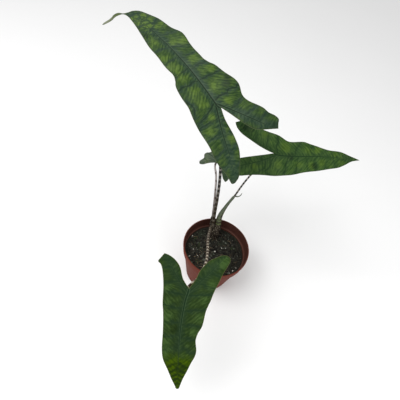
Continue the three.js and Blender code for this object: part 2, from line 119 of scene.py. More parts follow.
# Each stalk follows a curve from the corm to its blade. Its radius is given at the corm and
# at the blade, and places along it are counted in points of its path.
STALKS = {
    "a": {
        "path": [(-8, 31, 60), (-10.5, 33, 78), (-14.3, 38, 95), (-17.5, 46.5, 119), (-21.5, 56, 160),
                 (-27, 61, 200), (-35, 61.5, 243), (-45, 57, 286), (-55, 46, 328)],
        "radius": (3.2, 1.7),
        "start": 1.9,
        "sleeve": {"mouth": 2.4, "radius": (6.6, 4.3)},
    },
    "b": {
        "path": [(-7, 31, 60), (-6, 33.5, 78), (-5.6, 42, 95), (-6.3, 52, 115), (-0.4, 62, 138),
                 (8, 70.5, 160), (14, 77, 182), (21.5, 83, 205), (31, 85, 231)],
        "radius": (1.7, 1.5),
        "start": 2.2,
        "sleeve": {"mouth": 2.35, "radius": (6.8, 6.3)},
    },
    "c": {
        "path": [(-9, 30, 60), (-13, 31, 80), (-17.5, 31.5, 97), (-19, 16, 113), (-20, -8, 129),
                 (-19.5, -29, 142), (-18, -51, 156), (-17.5, -78, 173), (-20, -100, 184),
                 (-25, -121, 193)],
        "radius": (2.4, 2.0),
        "start": 1.8,
        "sleeve": {"mouth": 2.35, "radius": (7, 3.5)},
    },
    "d": {
        "path": [(-9, 33, 60), (-12.5, 38, 80), (-18, 47.5, 102), (-22.5, 61, 129),
                 (-27.5, 74, 155), (-33.5, 86, 180)],
        "radius": (2.4, 1.6),
        "start": 1.8,
        "sleeve": {"mouth": 2.3, "radius": (6.5, 3.6)},
    },
}
SHEATH = {
    "start": 1.7,
    "mouth": 5,
    "radius": [(0, 5.3), (0.2, 5.3), (0.4, 4.2), (0.6, 3.1), (0.8, 2.5), (1, 2.4)],
    "tip": [(9.4, 70.3, 158), (10.6, 70.2, 158.8), (12.6, 70.4, 158.8), (15.6, 71.2, 160),
            (17.8, 72, 163.5), (18.6, 73.4, 168)],
    "tip_radius": (0.9, 0.35),
    "tip_place": 62,
}

# A blade is bent along its midrib: the bend gives the heading and the slope at distances
# along it. Outlines are (along, across) pairs on the bent surface. Laterals are the side
# veins: where each leaves the midrib, and how far it leans to the tip for each millimetre
# outwards.
LEAVES = {
    "a": {
        "seat": (-63, 31, 365),
        "roll": -16,
        "fold": 5,
        "wave": 1.6,
        "wave_length": 47,
        "bend": [(-85, 143, 34), (0, 143, 20), (184, 143, -6), (200, 153, -12), (212, 158, -24),
                 (224, 182, -50), (236, 166, -40), (250, 164, -32)],
        "sinus": (-9, -3),
        "midrib": [(0, 0), (60, -1), (120, -2), (170, -4), (196, -4), (206, -2), (216, 0), (249, 0)],
        "left": {
            "inner": [(-100, 31), (-95, 22), (-82, 13), (-66, 5), (-48, 2), (-25, 1)],
            "outer": [(-100, 31), (-98, 36), (-84, 37), (-60, 40), (-25, 39), (-4, 38), (14, 34),
                      (40, 32), (50, 27), (61, 23), (80, 23.5), (100, 22.3), (120, 19.3), (142, 14.5),
                      (162, 8.5), (184, 3), (196, 0), (206, -1), (213, 3.5), (220, 5.2), (232, 5),
                      (243, 4), (248, 2), (249, 0)],
            "rib": [(0, 0), (-23, 9), (-44, 16), (-65, 20), (-86, 25), (-100, 31)],
            "laterals": [(0, -0.45), (38, -0.05), (59, -0.2), (80, 0), (101, 0.1), (121, 0.2),
                         (140, 0.4), (157, 0.5), (172, 0.5), (186, 0.6)],
        },
        "right": {
            "inner": [(-66, -55), (-63, -48), (-56, -32), (-50, -24), (-38, -16), (-22, -9)],
            "outer": [(-66, -55), (-61, -58.5), (-56, -62), (-50, -59.3), (-43, -52.8), (-35, -49),
                      (-20, -40), (-8, -37), (6, -40), (24, -36.5), (36, -34.3), (44, -31.5), (50, -27),
                      (57, -24.2), (64, -24), (88, -26), (108, -28), (130, -25), (158, -22),
                      (174, -20.5), (187, -17.5), (196, -12), (200, -7), (206, -3), (213, -4),
                      (220, -5.2), (232, -5), (243, -4), (248, -2), (249, 0)],
            "rib": [(0, 0), (-23, -17), (-41, -30), (-66, -55)],
            "laterals": [(4, 0.02), (36, -0.05), (57, -0.15), (78, -0.2), (99, -0.5), (124, -0.3),
                         (148, 0.25), (166, 0.3), (182, 0.5)],
        },
        "steps": {"lobe": 72, "body": 170, "across": 30},
        "glow": [(171, -13), (167, -2), (141, -15), (120, 10), (104, -9), (73, 16), (86, 19), (60, 16),
                 (67, -14), (49, 16), (26, 13), (6, 16), (19, -11), (41, -24), (-6, -15), (-48, 7),
                 (-15, 16), (-31, 29), (182, 0), (152, -3), (95, -20)],
        "dark_patch_and_shade": [(20, -33), (12, -26), (128, -21), (136, 12), (-60, -52)],
    },
    "b": {
        "seat": (47, 77, 270),
        "roll": 34,
        "fold": 5,
        "wave": 1.2,
        "wave_length": 38,
        "bend": [(-65, 12, 30), (0, 12, 15), (134, 12, -12)],
        "sinus": (-5, 3),
        "midrib": [(0, 0), (19, -3), (50, -3), (92, 0), (115, 2), (137, 5)],
        "left": {
            "inner": [(-53, 61), (-52, 52), (-47, 41), (-38, 30), (-24, 16), (-12, 7)],
            "outer": [(-53, 61), (-45, 60.5), (-36, 55), (-25, 47), (-8, 36), (5, 29), (16, 21),
                      (24, 19), (40, 19), (48, 17), (60, 14), (71, 11), (82, 9.5), (100, 10),
                      (118, 7), (137, 5)],
            "rib": [(0, 0), (-24, 20), (-40, 37), (-53, 61)],
            "laterals": [(-1, 0.15), (27, 0.35), (48, 0.4), (68, 0.8), (86, 0.7), (103, 0.8),
                         (118, 0.8)],
        },
        "right": {
            "inner": [(-77, -5), (-69, 2), (-57, 4), (-38, 3), (-20, 2.5)],
            "outer": [(-77, -5), (-78, -12), (-72, -19), (-62, -24), (-45, -26), (-24, -30),
                      (-4, -33), (18, -33), (40, -29), (64, -25), (84, -20), (98, -16), (109, -10),
                      (122, -1), (137, 5)],
            "rib": [(0, 0), (-27, -7), (-54, -8), (-76, -8)],
            "laterals": [(-1, -0.85), (17, -0.3), (33, -0.2), (46, 0), (58, 0.15), (73, 0.2),
                         (88, 0.3), (104, 0.5), (118, 0.6)],
        },
        "steps": {"lobe": 60, "body": 110, "across": 26},
        "glow": [(-14, 33), (12, 14), (15, 8), (48, 5), (91, 5), (0, -16), (32, -17), (71, -12),
                 (-37, -14), (105, -7), (62, 8), (52, -18)],
        # dark patches; the first two, on the left lobe, are painted shade where the top leaf shades it
        "dark_patch_and_shade": [(-42, 50), (-34, 44), (20, -4), (58, -18)],
    },
    "c": {
        "seat": (-34, -148, 200),
        "roll": 0,
        "fold": 8,
        "wave": 1.2,
        "wave_length": 36,
        "bend": [(-50, -78, -14), (0, -78, -32), (145, -78, -58)],
        "sinus": (-6, 1),
        "midrib": [(0, 0), (13, -3), (37, -5), (64, -5), (96, -3), (134, 0)],
        "left": {
            "inner": [(-51, 50), (-51, 43), (-47, 34), (-42, 25), (-30, 14.5), (-18, 9)],
            "outer": [(-51, 50), (-49, 53), (-44, 54), (-38, 51), (-28, 45), (-16, 40), (-3, 33.5),
                      (8, 30), (22, 25.5), (40, 22), (50, 18), (60, 16), (72, 18), (82, 17),
                      (92, 13.3), (105, 9), (116, 5.5), (128, 3), (132, 2.2), (134, 0)],
            "rib": [(0, 0), (-18, 18), (-51, 50)],
            "laterals": [(3, -0.1), (23, -0.1), (41, 0), (57, 0.1), (71, 0.25), (83, 0.35),
                         (93, 0.45), (102, 0.5), (110, 0.5), (117, 0.5), (124, 0.5)],
        },
        "right": {
            "inner": [(-48, -35), (-46, -28), (-41, -20), (-32, -13), (-18, -8)],
            "outer": [(-48, -35), (-42, -39.5), (-37, -42.5), (-33, -38.5), (-24, -35.5), (-8, -33),
                      (13, -32), (26, -30), (50, -28), (72, -27), (87, -23.8), (104, -15.6),
                      (117, -9.5), (128, -4), (132, -2.4), (134, 0)],
            "rib": [(0, 0), (-22, -18), (-48, -35)],
            "laterals": [(2, -0.1), (20, -0.15), (38, -0.05), (55, 0.05), (70, 0.2), (82, 0.35),
                         (92, 0.45), (101, 0.5), (109, 0.5), (116, 0.5), (124, 0.5)],
        },
        "steps": {"lobe": 50, "body": 110, "across": 28},
        "glow": [(-44, 47), (-38, 44), (-12, 30), (6, 22), (30, 18), (-6, -27), (14, -26), (28, -24),
                 (36, -25), (60, -24), (70, -22), (76, -23), (48, 12)],
        "dark_patch_and_shade": [(99, -1), (103, 2), (46, -14)],
    },
    "d": {
        "seat": (-38, 97, 205),
        "roll": 14,
        "fold": 6,
        "wave": 0.8,
        "wave_length": 30,
        "bend": [(-35, 80, 20), (0, 80, 8), (78, 80, -12)],
        "sinus": (-4, 0),
        "midrib": [(0, 0), (30, 0), (76, 0)],
        "left": {
            "inner": [(-24, 26), (-21, 20), (-12, 11)],
            "outer": [(-24, 26), (-19, 28), (-10, 24), (-4, 26), (1, 24), (8, 18), (22, 15),
                      (44, 11), (62, 6), (76, 0)],
            "rib": [(0, 0), (-10, 14), (-24, 26)],
            "laterals": [(2, 0), (16, 0.1), (30, 0.25), (43, 0.4), (56, 0.5), (67, 0.6)],
        },
        "right": {
            "inner": [(-30, -25), (-26, -20), (-18, -15), (-10, -8)],
            "outer": [(-30, -25), (-30, -28), (-22, -30), (-10, -27), (4, -21), (22, -16),
                      (44, -12), (62, -6), (76, 0)],
            "rib": [(0, 0), (-12, -12), (-30, -26)],
            "laterals": [(2, 0), (15, 0.1), (29, 0.25), (42, 0.4), (55, 0.5), (66, 0.6)],
        },
        "steps": {"lobe": 34, "body": 64, "across": 20},
        "glow": [(-12, 16), (20, -8), (40, 5)],
        # painted shade on the darker right lobe
        "dark_patch_and_shade": [(-27, -26), (-22, -20), (-18, -27), (-12, -20), (-8, -13)],
    },
}
SIDES = {"left": 1, "right": -1}

# A blade's thickness at its middle and its edge, how far its midrib is worked out back into the
# lobes and on to the tip, how its rows and columns crowd towards the lobe's end and the midrib, the
# size of a bright or dark patch, the dark ones partly painted shade, and how far the stalk's surface stays
# below the middle surface
BLADE = {"middle": 0.62, "edge": 0.22, "reach": (130, 260), "rows_crowd": 1.3,
         "columns_crowd": 1.15, "glow": 6.0, "clear_of_stalk": 1.7}

# A blade's waves grow with the distance from the midrib, are full from a distance on, grow no more
# past a limit, and run a phase ahead on the left
WAVE = {"full_from": 25, "most": 1.3, "left_phase": 1.4}

# Side veins of the lobes: how far apart they are, how far they lean and reach outwards, and where
# the first one starts and how far they lean on the lobe's inner side
LOBE_VEINS = {"step": 20, "lean": 0.45, "reach": 26, "inner_start": 0.35, "inner_lean": 0.5}

# Two side veins are never taken to be further apart than this
WIDEST_ROOM = 30

# The ribs' width from the stalk to the tips, and how far out the lobes' tips are
RIB = {"width": (1.15, 0.18), "lobe_tip": 105}

# Each form's height and how far it goes sideways. The groove's and the keel's are counted in widths
# of the rib.
RELIEF = {"pillow": (0.55, 4), "groove": (0.3, 1.3), "crease": (0.16, 0.9), "keel": (1.1, 1.5)}

# The fine strokes of a blade: their width and pitch, how far they wander, and how far they lean to
# the tip for each millimetre outwards, on the body and on the lobes
STROKE = {"width": 2.7, "pitch": 5.4, "wander": 9.0, "lean": 0.85, "lobe_lean": 0.35}

# Colours of a leaf as they look under the lights, each as a dark and a light tone that the fine
# strokes swing between: the field between the veins, the blue-green zones along the veins and the
# bright patches. Then the veins, the pale seams beside them, the dark patches, partly painted shade
# on lobes that lie in shade, and the margin's dark line and thin rim. Zone reach is how far the zones go out
# from a side vein, in millimetres.
# Seams and ribs say how strongly the midrib's seams and the lobes' ribs show, sheen how glossy
# the blade is, and net how strongly the net of small veins, which fades in over the netted stretch.
# The strokes have a length in millimetres, and a depth from 0 to 1.
LEAF_TONES = {
    "a": {"light": 1.47, "sheen": 0.25, "field": ((48, 72, 36), (78, 102, 56)),
          "zone": ((42, 64, 48), (70, 90, 70)), "bright": ((78, 104, 34), (108, 134, 64)),
          "vein": (34, 54, 38), "seam": (78, 102, 74), "dark_patch_and_shade": (40, 56, 34), "line": (58, 68, 42),
          "rim": (98, 114, 78), "zone_reach": 4.6, "seams": 0.55, "ribs": 1.0,
          "stroke_length": 8.0, "stroke_depth": 0.9, "net": 0.7, "netted": (105.0, 160.0)},
    "b": {"light": 1.2, "sheen": 0.18, "field": ((46, 71, 36), (72, 98, 52)),
          "zone": ((40, 64, 36), (64, 88, 50)), "bright": ((66, 90, 30), (87, 113, 52)),
          "vein": (36, 58, 34), "seam": (66, 92, 52), "dark_patch_and_shade": (30, 46, 20), "line": (50, 66, 34),
          "rim": (84, 100, 62), "zone_reach": 4.6, "seams": 0.4, "ribs": 0.8,
          "stroke_length": 10.0, "stroke_depth": 0.95, "net": 0.4, "netted": (60.0, 110.0)},
    "c": {"light": 1.3, "sheen": 0.04, "field": ((37, 56, 25), (57, 76, 38)),
          "zone": ((34, 54, 32), (52, 71, 44)), "bright": ((50, 74, 30), (78, 103, 56)),
          "vein": (34, 54, 34), "seam": (88, 112, 82), "dark_patch_and_shade": (30, 46, 18), "line": (46, 64, 24),
          "rim": (112, 120, 74), "zone_reach": 5.0, "seams": 0.36, "ribs": 0.3,
          "stroke_length": 6.5, "stroke_depth": 0.75, "net": 0.45, "netted": (30.0, 90.0)},
    "d": {"light": 0.95, "sheen": 0.25, "field": ((76, 90, 70), (106, 118, 100)),
          "zone": ((70, 84, 68), (98, 110, 94)), "bright": ((88, 102, 72), (114, 126, 96)),
          "vein": (56, 70, 54), "seam": (98, 110, 94), "dark_patch_and_shade": (44, 66, 36), "line": (56, 66, 46),
          "rim": (100, 110, 88), "zone_reach": 3.2, "seams": 0.4, "ribs": 0.5,
          "stroke_length": 8.0, "stroke_depth": 0.8, "net": 0.3, "netted": (30.0, 60.0)},
}

# Each stalk's bands: how far apart they are, how much of the way the dark ones take, how strongly
# its sides are darkened with painted shade, and the pale and dark tones as they look under the lights
STALK_TONES = {
    "a": {"pitch": 10.5, "dark": 0.64, "flank_shade": 0.3, "pale": (132, 127, 118), "blotch": (36, 31, 27)},
    "b": {"pitch": 7.5, "dark": 0.62, "flank_shade": 0.12, "pale": (166, 158, 148), "blotch": (34, 28, 26)},
    "c": {"pitch": 10.0, "dark": 0.62, "flank_shade": 0.8, "pale": (176, 166, 148), "blotch": (58, 47, 38)},
    "d": {"pitch": 16.0, "dark": 0.2, "flank_shade": 0.9, "pale": (184, 175, 172), "blotch": (62, 50, 46)},
}

# How much white a full sheen adds to what is seen of a leaf, and how bright the lights make a stalk
VEIL = 0.08
STALK_LIGHT = 0.85


# Lines and curves


def mix(start, end, share):
    return start + (end - start) * share


def smooth(value, low, high):
    """0 below low and 1 above high, with a soft rise between; the other way round if low is higher."""
    share = np.clip((value - low) / (high - low), 0, 1)
    return share * share * (3 - 2 * share)


def hump(value, width):
    """1 at zero, falling away on both sides in the shape of a bell."""
    return np.exp(-((value / width) ** 2))


def circle(sides):
    """Angles in equal steps round a full turn."""
    return np.arange(sides) / sides * 2 * np.pi


def towards(angle, reach=1.0):
    """A level vector at an angle in radians."""
    return np.array([math.cos(angle), math.sin(angle), 0.0]) * reach


def on_line(rows, place, column=1):
    """Values at places on a broken line of rows, carried on straight past its ends."""
    rows = np.asarray(rows, float)
    first = np.clip(np.searchsorted(rows[:, 0], place) - 1, 0, len(rows) - 2)
    share = (place - rows[first, 0]) / (rows[first + 1, 0] - rows[first, 0])
    return mix(rows[first, column], rows[first + 1, column], share)


def curve_through(points, steps=40, centripetal=False):
    """Dense points of a Catmull-Rom curve, with the same number of steps to each span."""
    points = np.asarray(points, float)
    first, last = points[0], points[-1]
    if centripetal:
        first, last = 2 * first - points[1], 2 * last - points[-2]
    padded = [first, *points, last]
    share = (np.arange(steps) / steps)[:, None]
    spans = []
    for before, start, end, after in zip(padded, padded[1:], padded[2:], padded[3:]):
        leave, arrive = (end - before) / 2, (after - start) / 2
        if centripetal:
            pairs = ((before, start), (start, end), (end, after))
            back, middle, on = (np.linalg.norm(b - a) ** 0.5 for a, b in pairs)
            straight = (end - start) / middle
            leave = ((start - before) / back - (end - before) / (back + middle) + straight) * middle
            arrive = (straight - (after - start) / (middle + on) + (after - end) / on) * middle
        second = 3 * (end - start) - 2 * leave - arrive
        third = 2 * (start - end) + leave + arrive
        spans.append(start + leave * share + second * share**2 + third * share**3)
    return np.vstack([*spans, points[-1:]])


def lengths_along(line):
    return np.concatenate([[0], np.cumsum(np.linalg.norm(np.diff(line, axis=0), axis=1))])


def at_shares(line, shares):
    """Points of a line at shares of its length."""
    lengths = lengths_along(line)
    wanted = np.asarray(shares) * lengths[-1]
    return np.stack([np.interp(wanted, lengths, column) for column in line.T], axis=-1)


def even_course(points, count, steps=40):
    """Evenly spaced points of a smooth curve in space."""
    return at_shares(curve_through(points, steps, centripetal=True), np.linspace(0, 1, count))


def beside_line(points, line):
    """How far points lie from a broken line, positive on its left, and the length along the line to
    the nearest place on it."""
    nearest, side, place = np.full(len(points), np.inf), np.ones(len(points)), np.zeros(len(points))
    for start, end, length in zip(line, line[1:], lengths_along(line)):
        ahead, offset = end - start, points - start
        span = np.linalg.norm(ahead)
        share = np.clip(offset @ ahead / span**2, 0, 1)
        gap = np.linalg.norm(offset - share[:, None] * ahead, axis=1)
        turn = ahead[0] * offset[:, 1] - ahead[1] * offset[:, 0]
        closer = gap < nearest
        nearest[closer] = gap[closer]
        side[closer] = np.where(turn[closer] < 0, -1, 1)
        place[closer] = length + share[closer] * span
    return nearest * side, place


def thin_plate(places, values):
    """A smooth surface through values at (along, across) places, as a function of more places."""
    places = np.asarray(places, float)
    count = len(places)

    def bending(points):
        distance = np.linalg.norm(points[:, None] - places[None], axis=2)
        return distance**2 * np.log(np.maximum(distance, 1e-6))

    flat = np.hstack([np.ones((count, 1)), places])
    system = np.block([[bending(places), flat], [flat.T, np.zeros((3, 3))]])
    weights = np.linalg.solve(system, np.concatenate([values, np.zeros(3)]))

    def field(points):
        return bending(points) @ weights[:count] + weights[count] + points @ weights[count + 1 :]

    return field


def roughness_at(points, size, seed):
    """Smooth seeded noise between -1 and 1 at points in millimetres, with lumps of a given size."""
    shift = Vector([17.3 * seed, 5.1 * seed, 9.7 * seed])
    return np.array([noise.noise(Vector(point) / size + shift) for point in points])


class Draw:
    """A row of seeded random numbers, the same that the solids' grains are drawn from."""

    factor, step, span = 1103515245.0, 12345.0, 2147483648.0

    def __init__(self, seed):
        self.state = float(seed)

    def next(self):
        self.state = (self.state * self.factor + self.step) % self.span
        return self.state / self.span

    def between(self, low, high):
        return mix(low, high, self.next())

    def heading(self):
        return self.between(0, 6.28)


# Meshes


def in_scene(name, data):
    made = bpy.data.objects.new(name, data)
    bpy.context.scene.collection.objects.link(made)
    return made


def mesh_of(name, points, faces):
    """A mesh from points in millimetres."""
    mesh = bpy.data.meshes.new(name)
    mesh.from_pydata((np.asarray(points, float) * MM).tolist(), [], faces)
    return mesh


def make_piece(name, points, faces, paint, slot, stands_for=(), fields=None, sharp=50):
    """A piece that rides on the part's body, in place of the nodes that it stands for. Its fields are
    values at its points that the paint reads. Edges bent by more than sharp degrees stay hard."""
    mesh = mesh_of(name, points, faces)
    mesh.update()
    mesh.polygons.foreach_set("use_smooth", [True] * len(mesh.polygons))
    mesh.set_sharp_from_angle(angle=math.radians(sharp))
    for key, values in (fields or {}).items():
        values = np.asarray(values, np.float32)
        kind, entry = ("FLOAT", "value") if values.ndim == 1 else ("FLOAT_VECTOR", "vector")
        mesh.attributes.new(key, kind, "POINT").data.foreach_set(entry, values.ravel())
    mesh.materials.append(paint)
    piece = in_scene(name, mesh)
    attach(piece, "root")
    if stands_for:
        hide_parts(*stands_for)
    return piece


class Heap:
    """Points and faces of many small bodies, gathered for one mesh."""

    def __init__(self):
        self.points, self.faces, self.fields = [], [], {}

    def add(self, points, faces, **fields):
        start = len(self.points)
        self.points.extend(np.asarray(points, float).tolist())
        self.faces.extend(tuple(start + corner for corner in face) for face in faces)
        for key, values in fields.items():
            values = np.full(len(points), values) if np.ndim(values) == 0 else values
            self.fields.setdefault(key, []).append(values)

    def piece(self, name, paint, slot, **rest):
        fields = {key: np.concatenate(values) for key, values in self.fields.items()}
        make_piece(name, self.points, self.faces, paint, slot, fields=fields, **rest)


def ring_faces(rings, sides):
    """Faces of a closed tube of rings, wound to face outwards, with two more points for its caps."""
    faces = []
    for i in range(rings - 1):
        for j in range(sides):
            here, beside = i * sides + j, i * sides + (j + 1) % sides
            faces.append((here, beside, beside + sides, here + sides))
    first, last = rings * sides, rings * sides + 1
    for j in range(sides):
        after = (j + 1) % sides
        faces.append((first, after, j))
        faces.append((last, (rings - 1) * sides + j, (rings - 1) * sides + after))
    return faces


def directions_along(line):
    """Two steady crosswise directions at each point of a line in space."""
    ahead = np.gradient(line, axis=0)
    ahead /= np.linalg.norm(ahead, axis=1)[:, None]
    start = np.cross(ahead[0], [1, 0, 0] if abs(ahead[0][0]) < 0.8 else [0, 1, 0])
    first = [start / np.linalg.norm(start)]
    for direction in ahead[1:]:
        carried = first[-1] - direction * (first[-1] @ direction)
        first.append(carried / np.linalg.norm(carried))
    return np.array(first), np.cross(ahead, first)


def tube(line, radii, sides):
    """Points, faces and places on a closed tube round a line. The radii are one number, or an array
    with a row for each point of the line. A place is how far out, as two crosswise distances, and
    how far along."""
    line = np.asarray(line, float)
    radii = np.broadcast_to(radii, (len(line), sides))
    first, second = (way[:, None] for way in directions_along(line))
    across, upward = radii * np.cos(circle(sides)), radii * np.sin(circle(sides))
    body = line[:, None] + across[..., None] * first + upward[..., None] * second
    points = np.vstack([body.reshape(-1, 3), line[0], line[-1]])
    along = lengths_along(line)
    places = np.column_stack([across.ravel(), upward.ravel(), np.repeat(along, sides)])
    return points, ring_faces(len(line), sides), np.vstack([places, [0, 0, 0], [0, 0, along[-1]]])


def closing(along, reach, least):
    """How much of its radius a tube keeps as it closes at its end, where along is 1."""
    return np.sqrt(np.clip((1 - along) / reach, least, 1))


def lathe(profile, sides, ripple=0):
    """Points and faces of a profile of (radius, height) pairs turned about the vertical axis and
    closed at both ends. The ripple is added to the radii, by row and side."""
    profile = np.asarray(profile, float)
    radii = np.broadcast_to(profile[:, :1] + ripple, (len(profile), sides))
    heights = np.broadcast_to(profile[:, 1:], radii.shape)
    rings = np.stack([radii * np.cos(circle(sides)), radii * np.sin(circle(sides)), heights], axis=-1)
    ends = [[0, 0, profile[0, 1]], [0, 0, profile[-1, 1]]]
    return np.vstack([rings.reshape(-1, 3), ends]), ring_faces(len(profile), sides)


def rounded(corners, steps=4):
    """A profile of (radius, height, bevel) corners with each bevel turned into an arc."""
    points = np.array(corners, float)[:, :2]
    outline = [points[0]]
    for before, corner, after, (_, _, bevel) in zip(points, points[1:], points[2:], corners[1:]):
        start, end = (corner + (other - corner) / np.linalg.norm(other - corner) * bevel
                      for other in (before, after))
        for share in np.arange(steps + 1) / steps:
            outline.append(mix(mix(start, corner, share), mix(corner, end, share), share))
    return [*outline, points[-1]]


def closed_sheet(top, bottom, faces):
    """Points and faces of a thin body between two sheets. The faces are the top sheet's."""
    count = len(top)
    edges = {(a, b) for face in faces for a, b in zip(face, face[1:] + face[:1])}
    band = [(b, a, a + count, b + count) for a, b in edges if (b, a) not in edges]
    under = [tuple(at + count for at in reversed(face)) for face in faces]
    return np.vstack([top, bottom]), faces + under + band


def lump(draw, radius, detail, rough):
    """Points and faces of a small uneven grain round the origin, from a ball of triangles."""
    golden = (1 + 5**0.5) / 2
    corners = [Vector(np.roll((near, far, 0), turn))
               for turn in range(3) for far in (golden, -golden) for near in (-1, 1)]
    faces = [(0, 11, 5), (0, 5, 1), (0, 1, 7), (0, 7, 10), (0, 10, 11), (1, 5, 9), (5, 11, 4),
             (11, 10, 2), (10, 7, 6), (7, 1, 8), (3, 9, 4), (3, 4, 2), (3, 2, 6), (3, 6, 8),
             (3, 8, 9), (4, 9, 5), (2, 4, 11), (6, 2, 10), (8, 6, 7), (9, 8, 1)]
    for _ in range(detail):
        halfway, finer = {}, []
        for a, b, c in faces:
            middles = []
            for pair in ((a, b), (b, c), (c, a)):
                key = tuple(sorted(pair))
                if key not in halfway:
                    halfway[key] = len(corners)
                    corners.append((corners[key[0]] + corners[key[1]]) / 2)
                middles.append(halfway[key])
            ab, bc, ca = middles
            finer.extend([(a, ab, ca), (b, bc, ab), (c, ca, bc), (ab, bc, ca)])
        faces = finer
    shift = Vector([draw.between(0, 90) for _ in range(3)])
    ways = [corner.normalized() for corner in corners]
    points = [way * radius * (1 + rough * noise.noise(way * 1.7 + shift)) for way in ways]
    return np.array(points), faces


# Paint


def colour(red, green, blue):
    """A colour given as 0 to 255 in sRGB, as the linear one that shaders take."""
    parts = [part / 255 for part in (red, green, blue)]
    return [part / 12.92 if part <= 0.04045 else ((part + 0.055) / 1.055) ** 2.4 for part in parts] + [1]


def seen(red, green, blue, light=1.3, veil=0.02):
    """The paint that comes out as this colour in the picture, where the lights make a surface this
    much brighter and its sheen adds a pale veil."""
    return [max(0.0, (part - veil) / light) for part in colour(red, green, blue)[:3]] + [1]


class Term:
    """A node's output, which takes part in sums like a number."""

    def __init__(self, paint, socket):
        self.paint, self.socket = paint, socket

    def __add__(self, other):
        return self.paint.math("ADD", self, other)

    def __sub__(self, other):
        return self.paint.math("SUBTRACT", self, other)

    def __mul__(self, other):
        return self.paint.math("MULTIPLY", self, other)

    def __truediv__(self, other):
        return self.paint.math("DIVIDE", self, other)

    def __abs__(self):
        return self.paint.math("ABSOLUTE", self)


class Paint:
    """A material's nodes, added by short calls that take terms or plain values and give terms."""

    def __init__(self, name):
        self.material = bpy.data.materials.new(name)
        self.material.use_nodes = True
        self.tree = self.material.node_tree
        self.shader = self.tree.nodes["Principled BSDF"]

    def put(self, socket, value):
        if isinstance(value, Term):
            self.tree.links.new(value.socket, socket)
        else:
            socket.default_value = value

    def node(self, kind, output, inputs, **settings):
        made = self.tree.nodes.new(f"ShaderNode{kind}")
        for key, value in settings.items():
            setattr(made, key, value)
        for key, value in inputs.items():
            self.put(made.inputs[key], value)
        return Term(self, made.outputs[output])

    def field(self, name, output="Fac"):
        return self.node("Attribute", output, {}, attribute_name=name)

    def millimetres(self):
        """The place on the object in millimetres."""
        return self.vector("MULTIPLY", self.node("TexCoord", "Object", {}), (1000, 1000, 1000))

    def math(self, operation, *values):
        return self.node("Math", 0, dict(enumerate(values)), operation=operation)

    def vector(self, operation, *values):
        return self.node("VectorMath", 0, dict(enumerate(values)), operation=operation)

    def part(self, vector, axis):
        return self.node("SeparateXYZ", axis, {0: vector})

    def smooth(self, value, low, high):
        """0 at low and 1 at high, with a soft rise between."""
        inputs = {"Value": value, "From Min": low, "From Max": high}
        return self.node("MapRange", "Result", inputs, interpolation_type="SMOOTHSTEP")

    def level(self, value, low, high):
        """A 0 to 1 value spread over another range."""
        return self.node("MapRange", "Result", {"Value": value, "To Min": low, "To Max": high})

    def noise(self, vector, scale, detail=2.0, rough=0.5, output="Fac"):
        """Noise between 0 and 1. The scale is one number, or one for each direction."""
        if isinstance(scale, tuple):
            vector, scale = self.vector("MULTIPLY", vector, scale), 1.0
        inputs = {"Vector": vector, "Scale": scale, "Detail": detail, "Roughness": rough}
        return self.node("TexNoise", output, inputs)

    def drift(self, vector, scale, strength):
        """The vector moved about by noise."""
        cloud = self.noise(vector, scale, 1.0, output="Color")
        shift = self.vector("SUBTRACT", cloud, (0.5, 0.5, 0.5))
        return self.vector("ADD", vector, self.vector("MULTIPLY", shift, (strength,) * 3))

    def cells(self, vector, scale, feature="F1"):
        return self.node("TexVoronoi", "Distance", {"Vector": vector, "Scale": scale}, feature=feature)

    def blend(self, share, first, second):
        return self.node("Mix", 2, {0: share, 6: first, 7: second}, data_type="RGBA")

    def bump(self, height, depth, strength):
        """A bump whose full height stands for a depth in millimetres."""
        inputs = {"Height": height, "Distance": depth * MM, "Strength": strength}
        self.put(self.shader.inputs["Normal"], self.node("Bump", "Normal", inputs))

    def finish(self, base, roughness, sheen):
        self.put(self.shader.inputs["Base Color"], base)
        self.put(self.shader.inputs["Roughness"], roughness)
        self.shader.inputs["Specular IOR Level"].default_value = sheen
        return self.material


# Blades


def midrib_frame(leaf, along):
    """The directions ahead, to the left and up at distances along a midrib."""
    heading, slope = (np.radians(on_line(leaf["bend"], along, column))[:, None] for column in (1, 2))
    roll = math.radians(leaf["roll"])
    vertical, flat = np.array([0.0, 0.0, 1.0]), np.zeros_like(heading)
    level_ahead = np.hstack([np.cos(heading), np.sin(heading), flat])
    level_left = np.hstack([-np.sin(heading), np.cos(heading), flat])
    ahead = level_ahead * np.cos(slope) + vertical * np.sin(slope)
    upright = -level_ahead * np.sin(slope) + vertical * np.cos(slope)
    left = level_left * math.cos(roll) + upright * math.sin(roll)
    up = -level_left * math.sin(roll) + upright * math.cos(roll)
    return ahead, left, up


def midrib_course(leaf):
    """The midrib's points, added up from the stalk in steps of a millimetre both ways."""
    back, on = BLADE["reach"]
    places = np.arange(-back, on + 1)
    ahead = midrib_frame(leaf, places[:-1] + 0.5)[0]
    course = np.vstack([np.zeros(3), np.cumsum(ahead, axis=0)])
    return places, course - course[back] + np.array(leaf["seat"], float)


def blade_points(leaf, along, across, lift=0.0):
    """Points of a blade's middle surface, raised by lift along its upward direction."""
    along, across = np.atleast_1d(along).astype(float), np.atleast_1d(across).astype(float)
    places, course = leaf["course"]
    centre = np.stack([np.interp(along, places, column) for column in course.T], axis=-1)
    _, left, up = midrib_frame(leaf, along)
    fold = math.radians(leaf["fold"])
    beside = np.abs(across - on_line(leaf["midrib"], along))
    swell = np.minimum(WAVE["most"], (beside / WAVE["full_from"]) ** 2)
    phase = 2 * np.pi * along / leaf["wave_length"] + np.where(across > 0, WAVE["left_phase"], 0)
    rise = beside * math.sin(fold) + leaf["wave"] * swell * np.sin(phase) + lift
    return centre + left * (across * math.cos(fold))[:, None] + up * rise[:, None]


def inner_margin(leaf, half, steps=40):
    return curve_through([*half["inner"], leaf["sinus"]], steps)


def midrib_line(leaf):
    return curve_through([leaf["sinus"], *leaf["midrib"]])


